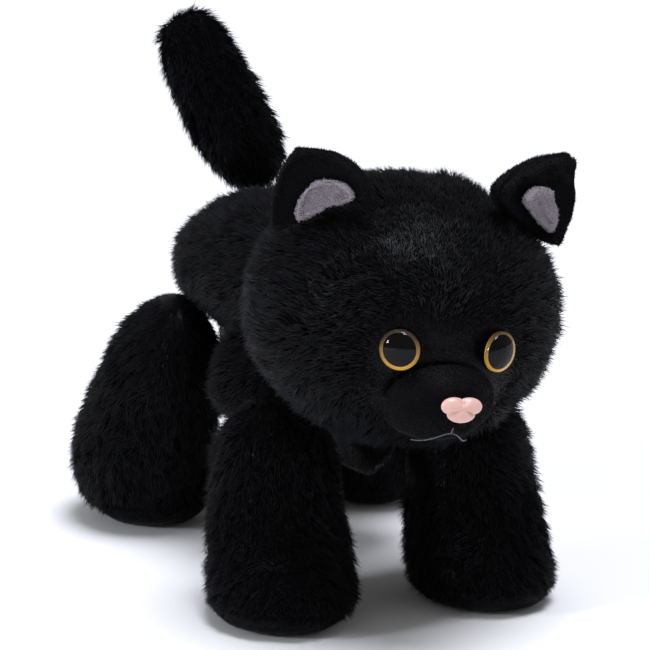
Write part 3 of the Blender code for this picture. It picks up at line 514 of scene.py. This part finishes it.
def long_values(mat, scale=1.0):
    """The tree's inputs for the long pile."""
    plan = pile_sizes()
    return {
        "Tufts per square metre": 9.0e6, "Spacing": plan.spacing, "Length": plan.length * scale,
        "Width": plan.width, "Lean": plan.lean, "Clump": plan.clump, "Gather": plan.gather,
        "Ruffle": plan.ruffle, "Curl": 0.20, "Floor": 0.0002, "Seed": plan.seed, "Pile": mat,
    }


def velour_values(mat):
    """And for the shaved velour, which stands nearly upright."""
    plan = pile_sizes()
    return {
        "Tufts per square metre": 12.0e6, "Spacing": plan.velour_spacing, "Length": plan.velour_length,
        "Width": plan.velour_width, "Lean": 0.55, "Clump": 0.0016, "Gather": 0.30,
        "Ruffle": 0.35, "Curl": 0.10, "Floor": 0.0002, "Seed": plan.seed, "Pile": mat,
    }


# ---- places read from the frame ----

def body_of(node):
    return next(body for body, members in BODIES.items() if node in members)


def points_of(node):
    mesh = NODES[node].data
    flat = np.empty(len(mesh.vertices) * 3, np.float32)
    mesh.vertices.foreach_get("co", flat)
    return flat.reshape(-1, 3).astype(float)


def centre(node):
    low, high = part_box(node)
    return (low + high) / 2


def core_line(node, axis):
    """The middle of a stuffed piece: the means of its first and its last third along an axis."""
    places = points_of(node)
    low = places[:, axis].min()
    high = places[:, axis].max()
    third = (high - low) / 3
    first = places[places[:, axis] <= low + third].mean(0)
    last = places[places[:, axis] >= high - third].mean(0)
    return Vector(first), Vector(last)


def nearest_on(line, place):
    """The nearest point of a line's stretch between its two ends."""
    found, along = geometry.intersect_point_line(place, *line)
    if along <= 0:
        return line[0]
    return line[1] if along >= 1 else found


def turned_axis(node, outwards):
    """Middle, direction and up to which a turned node reaches, its axis being where it is thinnest."""
    places = points_of(node)
    middle = places.mean(0)
    _, vectors = np.linalg.eigh(np.cov((places - middle).T))
    axis = Vector(vectors[:, 0]).normalized()
    if axis.dot(outwards) < 0:
        axis = -axis
    return Vector(middle), axis


def head_axes():
    """The head's own left, forward and up, from its eyes and its nose's shank."""
    left = (centre("eye_lens_left") - centre("eye_lens_right")).normalized()
    forward = centre("nose") - centre("nose_washer")
    forward = (forward - left * forward.dot(left)).normalized()
    return left, forward, forward.cross(left).normalized()


def matrix_from(place, across, up, out):
    turn = Matrix((across, up, out)).transposed().to_4x4()
    return Matrix.Translation(place) @ turn


# ---- making and dressing pieces ----

def link_object(name, mesh):
    obj = bpy.data.objects.new(name, mesh)
    bpy.context.scene.collection.objects.link(obj)
    return obj


def evaluated_mesh(obj):
    """The object's mesh with its modifiers applied, and the object removed."""
    depsgraph = bpy.context.evaluated_depsgraph_get()
    mesh = bpy.data.meshes.new_from_object(obj.evaluated_get(depsgraph))
    bpy.data.objects.remove(obj)
    return mesh


def smooth_skin(node, levels, hold=1.0):
    """A node's surface, merged into quads and smoothed, its cut edges kept sharp."""
    bm = bmesh.new()
    bm.from_mesh(NODES[node].data)
    bmesh.ops.remove_doubles(bm, verts=bm.verts, dist=0.000002)
    bmesh.ops.join_triangles(
        bm, faces=bm.faces, angle_face_threshold=math.radians(40), angle_shape_threshold=math.radians(70)
    )
    crease = bm.edges.layers.float.new("crease_edge")
    for edge in bm.edges:
        if edge.calc_face_angle(0) > CUT_EDGE:
            edge[crease] = hold
    mesh = bpy.data.meshes.new(node)
    bm.to_mesh(mesh)
    bm.free()
    obj = link_object(f"{node}_skin", mesh)
    smooth = obj.modifiers.new("smooth", "SUBSURF")
    smooth.levels = levels
    smooth.render_levels = levels
    return evaluated_mesh(obj)


def lay_out(mesh, core, field, lumps):
    """Marks the outer faces, gives each point its nap and pile length, and closes half the seam's gap."""
    outer = np.zeros(len(mesh.polygons), bool)
    sides = [Vector() for _ in mesh.vertices]
    for face in mesh.polygons:
        out = (face.center - nearest_on(core, face.center)).normalized()
        towards = face.normal.dot(out)
        outer[face.index] = towards > OUTER
        if abs(towards) <= OUTER:
            for index in face.vertices:
                sides[index] += face.normal
    mesh.attributes.new("outer", "BOOLEAN", "FACE").data.foreach_set("value", outer)
    lengths = np.ones(len(mesh.vertices), np.float32)
    naps = np.zeros((len(mesh.vertices), 3), np.float32)
    shifts = []
    swirl = pile_sizes().swirl
    for vert in mesh.vertices:
        length, nap = field(vert.co, vert.normal)
        nap = nap.normalized() + (noise.noise_vector(vert.co * 55) + noise.noise_vector(vert.co * 150)) * swirl
        length *= 1 + 0.22 * noise.noise(vert.co * 110)
        nap = nap - vert.normal * nap.dot(vert.normal)
        lengths[vert.index] = length
        naps[vert.index] = nap.normalized() if nap.length > 0.0001 else (0, 0, -1)
        side = sides[vert.index]
        lump = vert.normal * lumps * noise.noise(vert.co * 70)
        shifts.append(side.normalized() * SEAM_CLOSING if side.length > 0.01 else lump)
    mesh.attributes.new("pile", "FLOAT", "POINT").data.foreach_set("value", lengths)
    mesh.attributes.new("nap", "FLOAT_VECTOR", "POINT").data.foreach_set("vector", naps.ravel())
    for vert, shift in zip(mesh.vertices, shifts):
        vert.co += shift


def grow(name, mesh, values):
    """Runs the pile's tree on a fabric and returns it as one plain mesh object."""
    obj = link_object(f"{name}_fabric", mesh)
    tree = pile_group()
    modifier = obj.modifiers.new("pile", "NODES")
    modifier.node_group = tree
    for item in tree.interface.items_tree:
        if item.in_out == "INPUT" and item.name in values:
            modifier[item.identifier] = values[item.name]
    made = evaluated_mesh(obj)
    for extra in ("outer", "pile", "nap", "tone"):
        found = made.attributes.get(extra)
        if found:
            made.attributes.remove(found)
    return link_object(name, made)


def finish_piece(obj, slot, *nodes, body=None):
    """The piece rides on its body, stands for its CAD nodes and takes their finish."""
    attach(obj, body or body_of(nodes[0]))
    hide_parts(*nodes)
    return obj


def plush_panel(node, core, field, values, slot, levels=1, lumps=0.0007, shape=None):
    """One sewn panel with its pile: the cloth where the CAD panel is, the tufts standing out of it."""
    mesh = smooth_skin(node, levels)
    if shape:
        shape(mesh)
    lay_out(mesh, core, field, lumps)
    obj = grow(node.replace("_panel", "") + "_plush", mesh, values)
    finish_piece(obj, slot, node)
    return obj


def dress(node, mat):
    """A node that stays takes its material."""
    obj = NODES[node]
    obj.data.materials.clear()
    obj.data.materials.append(mat)


# ---- how the pile lies on each form ----

def ramp(value, low, high):
    """0 below low, 1 above high and smooth between."""
    part = min(max((value - low) / (high - low), 0.0), 1.0)
    return part * part * (3 - 2 * part)


def head_field():
    """Pile combed back from the nose, clipped round the eyes, short on the brow and long on the cheeks."""
    left, forward, up = head_axes()
    bridge = centre("nose") + up * 0.012
    eyes = [centre(f"eye_lens_{side}") for side in SIDES]
    muzzle = centre("muzzle_cover")
    trim = face_sizes().trim
    middle = centre("head_stuffing")

    def field(place, normal):
        nap = (place - bridge).normalized() + Vector((0, 0, -0.25))
        length = 1.0
        for eye, inwards in zip(eyes, (-left, left)):
            away = (place - eye).normalized()
            near = 1 - ramp((place - eye).length, trim, trim * 2.4)
            inner = max(away.dot(inwards), 0) ** 2
            nap = nap.lerp(away * (1 - 1.7 * inner), near * 0.9)
            length *= 1 - (0.62 - 0.95 * inner) * near
        face = ramp((place - muzzle).length, 0.017, 0.026)
        length *= 0.42 + 0.58 * face
        brow = max((place - middle).normalized().dot((forward + up * 0.7).normalized()), 0)
        length *= 1 - 0.32 * brow ** 3
        crown = max((place - middle).normalized().z, 0)
        length *= 1 - 0.22 * crown ** 2
        cheek = abs((place - middle).normalized().dot(left))
        length *= 1 + 0.18 * cheek ** 3
        return length, nap

    return field


def trunk_field():
    """Pile combed back and down, shorter where the legs and the head rub on it."""
    neck = centre("neck_plug")

    def field(place, normal):
        nap = Vector((0, 0.8, -0.75))
        length = 0.55 + 0.45 * ramp((place - neck).length, 0.020, 0.032)
        return length, nap

    return field


def belly_field():
    """Short pile between the legs and full pile on the flanks, combed down and back."""

    def field(place, normal):
        flank = ramp(abs(place.x), 0.014, 0.022)
        return 0.40 + 0.62 * flank, Vector((place.x * 8 * flank, 0.5, -0.8))

    return field


def shape_belly(mesh, keel, rim):
    """Draws the top of the belly's sides up and in, onto the trunk, and rounds it out between the legs."""
    start, started, end, ended = BELLY_FREE
    for vert in mesh.vertices:
        rise = ramp(vert.co.z, rim - FLANK_RISE * 1.5, rim) ** 2
        vert.co.z += FLANK_RISE * rise
        vert.co.x *= 1 - FLANK_PULL * rise
        level = min(max((vert.co.z - keel) / (rim + FLANK_RISE - keel), 0), 1)
        free = ramp(vert.co.y, start, started) * (1 - ramp(vert.co.y, end, ended))
        fullness = BELLY_FULLNESS * free * math.sin(math.pi * level) * ramp(abs(vert.co.x), 0.002, 0.010)
        vert.co.x += math.copysign(fullness, vert.co.x)


def shape_ear(mesh, side, whole):
    """Pulls an ear to the shape it is sewn in, along and away from its fold."""
    root = Vector(JOINTS[f"ear_{side}_fold"]["pos_m"])
    axis = Vector(JOINTS[f"ear_{side}_fold"]["axis"]).normalized()
    inwards = -1 if side == "left" else 1
    head = centre("head_stuffing")
    pull = EAR_SET[side]
    for vert in mesh.vertices:
        place = vert.co - root
        along = place.dot(axis)
        rise = place - axis * along
        high = min(rise.length / EAR_TALL, 1)
        inner = along * inwards > 0
        spread = (pull["inner"] if inner else pull["outer"]) * (1 - high) * whole
        reach = 0.65 + 0.35 * max(along * inwards, 0) / EAR_HALF
        sunk = (head - vert.co).normalized() * pull["sink"] * (1 - high) * reach
        along = along * (1 + spread) + pull["lean"] * high ** 2
        vert.co = root + axis * along + rise * (1 + pull["taller"] * high) + sunk * whole


def leg_field(leg, inner):
    """Pile combed down to the paw, longest just above the sole and short on the inside."""
    line = core_line(f"{leg}_stuffing", 2)
    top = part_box(f"{leg}_stuffing")[1].z

    def field(place, normal):
        out = place - nearest_on(line, place)
        nap = Vector((0, 0, -1)) + Vector((out.x, out.y, 0)).normalized() * 0.35
        length = 0.92 - 0.12 * (1 - ramp(place.z, 0.004, 0.016))
        if inner:
            facing = ramp(-out.normalized().y, 0.2, 0.8)
            length *= 1 - 0.55 * ramp(place.z, top * 0.40, top * 0.62) * (1 - facing)
        length *= 1 - 0.35 * ramp(place.z, top * 0.86, top)
        return length, nap

    return field


def sole_field(leg):
    """Under the paw the pile is pressed short; at its edge it fans out over the floor."""
    line = core_line(f"{leg}_stuffing", 2)

    def field(place, normal):
        out = place - nearest_on(line, place)
        nap = Vector((out.x, out.y, 0)).normalized()
        return 0.18 + 0.42 * ramp(place.z, 0.0010, 0.0055), nap

    return field


def tail_field():
    """Pile combed down the tail from its tip, which ends in a loose brush."""
    low, high = core_line("tail_stuffing", 2)
    along = (high - low).normalized()
    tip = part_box("tail_stuffing")[1].z

    def field(place, normal):
        brush = ramp(place.z, tip - 0.012, tip)
        nap = -along * (1 - 0.9 * brush)
        return 1.0 - 0.10 * brush, nap

    return field


def root_field(low, high):
    """Velour combed from one point towards another."""
    nap = (high - low).normalized()

    def field(place, normal):
        return 1.0, nap

    return field


# ---- the pieces ----

def make_head():
    pile = long_pile()
    core = core_line("head_stuffing", 0)
    field = head_field()
    for node in ("head_side_left", "head_side_right", "head_crown_gusset", "head_chin_panel"):
        plush_panel(node, core, field, long_values(pile, 0.92), "black_pile")


def make_trunk():
    pile = long_pile()
    core = core_line("trunk_stuffing", 1)
    for side in SIDES:
        plush_panel(f"trunk_side_{side}", core, trunk_field(), long_values(pile), "black_pile")
    low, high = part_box("underbody_gusset")
    ends = (Vector((0, low.y + 0.012, high.z)), Vector((0, high.y - 0.012, high.z)))
    plush_panel("underbody_gusset", ends, belly_field(), long_values(pile), "black_pile",
                shape=lambda mesh: shape_belly(mesh, low.z, high.z))


def make_legs():
    pile = long_pile()
    for pair in ("front", "hind"):
        for side in SIDES:
            leg = f"{pair}_leg_{side}"
            core = core_line(f"{leg}_stuffing", 2)
            for part in ("outer", "inner"):
                field = leg_field(leg, part == "inner")
                plush_panel(f"{leg}_{part}", core, field, long_values(pile), "black_pile")
            sole = f"{pair}_paw_sole_{side}"
            plush_panel(sole, core, sole_field(leg), long_values(pile), "black_pile")


def make_tail():
    pile = long_pile()
    core = core_line("tail_stuffing", 2)
    for side in SIDES:
        plush_panel(f"tail_panel_{side}", core, tail_field(), long_values(pile), "black_pile")


def make_muzzle():
    left, forward, up = head_axes()
    back = centre("muzzle_cover") - forward * 0.012
    field = root_field(centre("nose"), centre("muzzle_cover") + up * 0.002 - forward * 0.004)
    plush_panel("muzzle_cover", (back, back + forward * 0.002), field, velour_values(velour()),
                "black_velour", levels=2, lumps=0.0002)


def make_ears():
    black = velour_values(velour())
    pale = velour_values(patch_velour())
    for side in SIDES:
        middle = centre(f"ear_front_{side}")
        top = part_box(f"ear_front_{side}")[1]
        field = root_field(middle, top)
        for part, values, slot in (("back", black, "black_velour"), ("front", black, "black_velour"),
                                   ("patch", pale, "lilac_grey_velour")):
            node = f"ear_{part}_{side}"
            mesh = smooth_skin(node, 2, EAR_HOLD)
            shape_ear(mesh, side, part != "patch")
            core = (centre(node), centre(node) + Vector((0, 0, 0.001)))
            lay_out(mesh, core, field, 0.0)
            everywhere = np.ones(len(mesh.polygons), bool)
            mesh.attributes["outer"].data.foreach_set("value", everywhere)
            finish_piece(grow(f"{node}_velour", mesh, values), slot, node)


def revolve(name, profile, matrix, mat, steps=64):
    """A turned piece from a closed profile of (radius, height) that starts and ends on the axis or joins up."""
    closed = profile[0][0] > 0
    bm = bmesh.new()
    verts = [bm.verts.new((radius, 0, height)) for radius, height in profile]
    edges = [bm.edges.new(pair) for pair in zip(verts, verts[1:])]
    if closed:
        edges.append(bm.edges.new((verts[-1], verts[0])))
    bmesh.ops.spin(bm, geom=verts + edges, cent=(0, 0, 0), axis=(0, 0, 1), angle=math.tau, steps=steps,
                   use_merge=True)
    bmesh.ops.remove_doubles(bm, verts=bm.verts, dist=0.000002)
    bmesh.ops.recalc_face_normals(bm, faces=bm.faces)
    bmesh.ops.transform(bm, matrix=matrix, verts=bm.verts)
    mesh = bpy.data.meshes.new(name)
    bm.to_mesh(mesh)
    bm.free()
    mesh.shade_smooth()
    mesh.set_sharp_from_angle(angle=math.radians(35))
    mesh.materials.append(mat)
    return link_object(name, mesh)


def dome(radius, floor, height, steps=16):
    """A dome's profile from its top down to its flat back."""
    shape = []
    for step in range(steps + 1):
        angle = math.pi / 2 * (1 - step / steps)
        shape.append((radius * math.cos(angle), floor + height * math.sin(angle)))
    shape[0] = (0.0, shape[0][1])
    return shape + [(radius, floor - 0.0004), (0.0, floor - 0.0004)]


def make_eyes():
    left, forward, up = head_axes()
    acrylic = clear_acrylic()
    low = min(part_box(f"eye_iris_{side}")[0].z for side in SIDES)
    high = max(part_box(f"eye_iris_{side}")[1].z for side in SIDES)
    # The ring's painted light runs up the eyes' height: pale gold below, painted shade brown above.
    amber = amber_paint(low + 0.002, high - 0.001)
    black = black_moulding()
    for side in SIDES:
        middle, axis = turned_axis(f"eye_lens_{side}", forward)
        reach = (points_of(f"eye_lens_{side}") - np.array(middle)) @ np.array(axis)
        across = up.cross(axis).normalized()
        seat = matrix_from(middle + axis * reach.min(), across, axis.cross(across), axis)
        places = points_of(f"eye_lens_{side}") - np.array(middle)
        away = places - np.outer(places @ np.array(axis), np.array(axis))
        radius = float(np.linalg.norm(away, axis=1).max())
        pupil = radius * face_sizes().pupil
        lens = dome(radius, 0.0004, reach.max() - reach.min() - 0.0004)
        piece = revolve(f"eye_lens_{side}_dome", lens, seat, acrylic)
        finish_piece(piece, "clear_acrylic", f"eye_lens_{side}")
        ring = [(pupil, PAINT), (radius * 0.985, PAINT), (radius * 0.985, -0.0004), (pupil, -0.0004)]
        piece = revolve(f"eye_iris_{side}_ring", ring, seat, amber)
        finish_piece(piece, "amber_paint", f"eye_iris_{side}")
        back = points_of(f"eye_backing_{side}") - np.array(middle + axis * reach.min())
        depth = float((back @ np.array(axis)).min())
        shank = radius * 0.305
        stem = [(0.0, PAINT), (pupil - 0.00003, PAINT), (pupil - 0.00003, -0.0005),
                (radius, -0.0005), (radius, -0.0014), (shank, -0.0016), (shank, depth + 0.0005),
                (shank * 0.7, depth), (0.0, depth)]
        piece = revolve(f"eye_backing_{side}_moulding", stem, seat, black)
        finish_piece(piece, "black_plastic", f"eye_backing_{side}")


def make_nose():
    """Three soft lobes with creases between them, and the shank that goes through the muzzle."""
    left, forward, up = head_axes()
    low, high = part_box("nose")
    places = points_of("nose")
    front = float((places @ np.array(forward)).max())
    washer = centre("nose_washer")
    tip = washer + forward * (front - washer.dot(forward))
    ahead = places[(places @ np.array(forward)) > front - 0.0035]
    wide = float(np.ptp(ahead @ np.array(left)))
    tall = float(np.ptp(ahead @ np.array(up)))
    deep = 0.0040
    groove = face_sizes().nose_groove
    bm = bmesh.new()
    bmesh.ops.create_uvsphere(bm, u_segments=72, v_segments=36, radius=1)
    for vert in bm.verts:
        angle = math.atan2(vert.co.y, vert.co.x)
        rim = math.hypot(vert.co.x, vert.co.y)
        swell = abs(math.cos(1.5 * (angle + math.pi / 2)))
        lobes = 0.76 + 0.26 * swell ** 0.7
        if math.sin(angle) > 0:
            lobes -= 0.10 * abs(math.sin(angle)) ** 6
        crease = (1 - swell) ** 1.6 * ramp(rim, 0.10, 0.60)
        rise = 1 - groove * crease * (vert.co.z > 0)
        dip = 1 - 0.12 * math.exp(-((rim / 0.22) ** 2))
        vert.co = (
            vert.co.x * lobes * wide / 2 / 1.02,
            vert.co.y * lobes * tall / 2 / 0.98,
            vert.co.z * deep / 2 * rise * dip - deep / 2,
        )
    seat = matrix_from(tip + up * NOSE_LIFT + left * NOSE_ASIDE, left, up, forward)
    bmesh.ops.transform(bm, matrix=seat, verts=bm.verts)
    bmesh.ops.recalc_face_normals(bm, faces=bm.faces)
    mesh = bpy.data.meshes.new("nose_button")
    bm.to_mesh(mesh)
    bm.free()
    button = link_object("nose_button_form", mesh)
    back = float((places @ np.array(forward)).min()) - tip.dot(forward)
    stem = [(0.0, -deep / 2), (0.0016, -deep / 2), (0.0016, back), (0.0, back)]
    pin = revolve("nose_pin", stem, matrix_from(tip, left, up, forward), None, steps=24)
    union = button.modifiers.new("shank", "BOOLEAN")
    union.operation = "UNION"
    union.object = pin
    union.solver = "EXACT"
    mesh = evaluated_mesh(button)
    bpy.data.objects.remove(pin)
    mesh.materials.clear()
    mesh.materials.append(moulded_pink())
    mesh.shade_smooth()
    finish_piece(link_object("nose_button", mesh), "pink_nose_plastic", "nose")


def thread_route(node, direction, up, count):
    """The middle line of a thread's lowest run, read across a direction, and the top of its stem."""
    places = points_of(node)
    along = places @ np.array(direction)
    height = places @ np.array(up)
    marks = np.linspace(along.min(), along.max(), count + 1)
    route = []
    for low, high in zip(marks, marks[1:]):
        within = (along >= low) & (along <= high)
        if within.any():
            near = within & (height < height[within].min() + 0.0009)
            route.append(Vector(places[near].mean(0)))
    top = places[height > height.max() - 0.0004].mean(0)
    return route, Vector(top)


def wound_plies(route, thickness):
    """The middle lines of two plies wound round each other along a route."""
    spline_points = []
    for first, second in zip(route, route[1:]):
        for step in range(6):
            spline_points.append(first.lerp(second, step / 6))
    spline_points.append(route[-1])
    ply = thickness * 0.27
    turn = 0.0
    pitch = thickness * 3.2
    lines = [[], []]
    for index, place in enumerate(spline_points):
        ahead = spline_points[min(index + 1, len(spline_points) - 1)]
        behind = spline_points[max(index - 1, 0)]
        along = (ahead - behind).normalized()
        side = along.cross(Vector((0.1, 0.2, 1))).normalized()
        rise = along.cross(side)
        for number, line in enumerate(lines):
            angle = turn + math.pi * number
            line.append(place + (side * math.cos(angle) + rise * math.sin(angle)) * ply)
        turn += (ahead - place).length / pitch * math.tau
    return lines


def twisted_thread(name, routes, thickness, mat):
    """A two ply thread laid along its routes."""
    curve = bpy.data.curves.new(name, "CURVE")
    curve.dimensions = "3D"
    curve.bevel_depth = thickness * 0.30
    curve.bevel_resolution = 2
    curve.use_fill_caps = True
    for route in routes:
        for line in wound_plies(route, thickness):
            spline = curve.splines.new("POLY")
            spline.points.add(len(line) - 1)
            for point, place in zip(spline.points, line):
                point.co = (*place, 1)
    mesh = evaluated_mesh(link_object(f"{name}_curve", curve))
    bm = bmesh.new()
    bm.from_mesh(mesh)
    bmesh.ops.remove_doubles(bm, verts=bm.verts, dist=0.000005)
    bmesh.ops.recalc_face_normals(bm, faces=bm.faces)
    bm.to_mesh(mesh)
    bm.free()
    mesh.materials.clear()
    mesh.materials.append(mat)
    mesh.shade_smooth()
    return link_object(name, mesh)


def make_mouth():
    left, forward, up = head_axes()
    mat = sewing_thread()
    route, top = thread_route("mouth_thread", left, up, 13)
    fork = min(route, key=lambda place: (place - top).length)
    routes = [route, [fork, fork.lerp(top, 0.5), top]]
    piece = twisted_thread("mouth_stitch_plies", routes, face_sizes().thread, mat)
    finish_piece(piece, "grey_thread", "mouth_thread")


def make_trim():
    """The closing seam's thread and the blank label."""
    dress("closing_thread", sewing_thread())
    low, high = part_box("care_label")
    thick = high.y - low.y
    bm = bmesh.new()
    bmesh.ops.create_grid(bm, x_segments=14, y_segments=18, size=0.5)
    for vert in bm.verts:
        across = vert.co.x
        up = vert.co.y + 0.5
        wave = thick * 2.2 * (1 - up) * math.sin(across * 5.0)
        curl = thick * 3.0 * (1 - up) ** 2
        vert.co = (across * (high.x - low.x), (low.y + high.y) / 2 + wave + curl, low.z + up * (high.z - low.z))
    mesh = bpy.data.meshes.new("care_label_ribbon")
    bm.to_mesh(mesh)
    bm.free()
    obj = link_object("care_label_sheet", mesh)
    wall = obj.modifiers.new("wall", "SOLIDIFY")
    wall.thickness = thick * 0.6
    wall.offset = 0
    made = evaluated_mesh(obj)
    made.materials.append(label_satin())
    made.shade_smooth()
    finish_piece(link_object("care_label_ribbon", made), "label_satin", "care_label")


def make_inside():
    """Materials of what the skin hides: the fill, the bead bag and the lock washers."""
    fill = fibre_fill()
    washer = washer_plastic()
    for node in NODES:
        if node.endswith("stuffing") or node == "neck_plug":
            dress(node, fill)
        if "washer" in node:
            dress(node, washer)
    dress("pellet_bag", bag_cloth())


def floor_material():
    """Matte studio paper: pale, with the faintest tooth."""
    mat, tree, shader = new_material("pale_studio_paper", roughness=0.9)
    tooth = object_noise(tree, 6.0)
    colour = add(tree, "ShaderNodeMix", {"Factor": tooth.outputs["Fac"], "A": linear("#f2f2f2"),
                                         "B": linear("#f7f7f7")}, data_type="RGBA")
    tree.links.new(colour.outputs["Result"], shader.inputs["Base Color"])
    return mat


def add_light(name, place, target, width, power, colour="#ffffff"):
    light = bpy.data.lights.new(name, "AREA")
    light.shape = "DISK"
    light.size = width
    light.energy = power
    light.color = linear(colour)[:3]
    obj = bpy.data.objects.new(name, light)
    bpy.context.scene.collection.objects.link(obj)
    obj.location = place
    obj.rotation_euler = (target - Vector(place)).to_track_quat("-Z", "Y").to_euler()


def make_stage():
    """A pale floor, soft lights and the camera."""
    bm = bmesh.new()
    bmesh.ops.create_grid(bm, x_segments=1, y_segments=1, size=6.0)
    mesh = bpy.data.meshes.new("floor")
    bm.to_mesh(mesh)
    bm.free()
    mesh.materials.append(floor_material())
    floor = link_object("floor", mesh)
    floor.location.z = -0.0003

    scene = bpy.context.scene
    scene.world = bpy.data.worlds.new("studio")
    scene.world.use_nodes = True
    sky = scene.world.node_tree.nodes["Background"]
    sky.inputs["Color"].default_value = linear("#fbfbfc")
    sky.inputs["Strength"].default_value = 0.33
    scene.view_settings.view_transform = "Standard"
    middle = CAMERA_TARGET
    add_light("side", (-1.08, -0.10, 0.40), middle, 0.22, 4.5, "#f4f6ff")
    sun = bpy.data.lights.new("overhead", "SUN")
    sun.energy = 3.0
    sun.angle = math.radians(28)
    sun.color = linear("#f2f4ff")[:3]
    overhead = bpy.data.objects.new("overhead", sun)
    scene.collection.objects.link(overhead)
    overhead.rotation_euler = (math.radians(10), math.radians(4), 0)

    lens = bpy.data.cameras.new("camera")
    lens.lens = CAMERA_LENS
    lens.clip_start = 0.05
    camera = bpy.data.objects.new("camera", lens)
    scene.collection.objects.link(camera)
    away = Vector((
        math.sin(CAMERA_AZIMUTH) * math.cos(CAMERA_RISE),
        -math.cos(CAMERA_AZIMUTH) * math.cos(CAMERA_RISE),
        math.sin(CAMERA_RISE),
    ))
    camera.location = CAMERA_TARGET + away * CAMERA_DISTANCE
    camera.rotation_euler = (-away).to_track_quat("-Z", "Y").to_euler()
    scene.camera = camera


# ---- operators and panel ----

def operator(name, label, text, make):
    """An operator class that makes one group of pieces."""

    def execute(self, context):
        make()
        return {"FINISHED"}

    return type(f"PLUSH_OT_{name}", (bpy.types.Operator,), {
        "bl_idname": f"plush.{name}", "bl_label": label, "__doc__": text, "execute": execute,
    })


OPERATORS = (
    operator("stage", "Stage", "Adds the floor, the lights and the camera.", make_stage),
    operator("inside", "Inside", "Gives the fill, the bead bag and the washers their materials.", make_inside),
    operator("trunk", "Trunk", "Sews the pile of the trunk and the belly.", make_trunk),
    operator("legs", "Legs", "Sews the pile of the legs and the soles.", make_legs),
    operator("tail", "Tail", "Sews the pile of the tail.", make_tail),
    operator("head", "Head", "Sews the pile of the head.", make_head),
    operator("muzzle", "Muzzle", "Sews the velour cap round the nose.", make_muzzle),
    operator("ears", "Ears", "Sews the velour of the ears and their patches.", make_ears),
    operator("eyes", "Eyes", "Makes the domes, rings and mouldings of the eyes.", make_eyes),
    operator("nose", "Nose", "Makes the moulded nose.", make_nose),
    operator("mouth", "Mouth", "Makes the mouth's thread.", make_mouth),
    operator("trim", "Trim", "Makes the label and the closing seam's thread.", make_trim),
)


class PLUSH_PT_maker(bpy.types.Panel):
    """Lists the pieces of the cat and the sizes and colours they are made with."""

    bl_label = "Plush Cat"
    bl_idname = "PLUSH_PT_maker"
    bl_space_type = "VIEW_3D"
    bl_region_type = "UI"
    bl_category = "Plush Cat"

    def draw(self, context):
        for group in (pile_sizes(), face_sizes(), colours()):
            box = self.layout.box()
            for name in group.bl_rna.properties.keys():
                if name not in ("rna_type", "name"):
                    box.prop(group, name)
        for made in OPERATORS:
            self.layout.operator(made.bl_idname)


CLASSES = (PlushPile, PlushFace, PlushColours, *OPERATORS, PLUSH_PT_maker)


def register():
    for made in CLASSES:
        bpy.utils.register_class(made)
    bpy.types.Scene.plush_pile = bpy.props.PointerProperty(type=PlushPile)
    bpy.types.Scene.plush_face = bpy.props.PointerProperty(type=PlushFace)
    bpy.types.Scene.plush_colours = bpy.props.PointerProperty(type=PlushColours)


def unregister():
    del bpy.types.Scene.plush_colours
    del bpy.types.Scene.plush_face
    del bpy.types.Scene.plush_pile
    for made in reversed(CLASSES):
        bpy.utils.unregister_class(made)


def main():
    register()
    for made in OPERATORS:
        getattr(bpy.ops.plush, made.bl_idname.split(".")[1])()


if __name__ == "__main__":
    main()
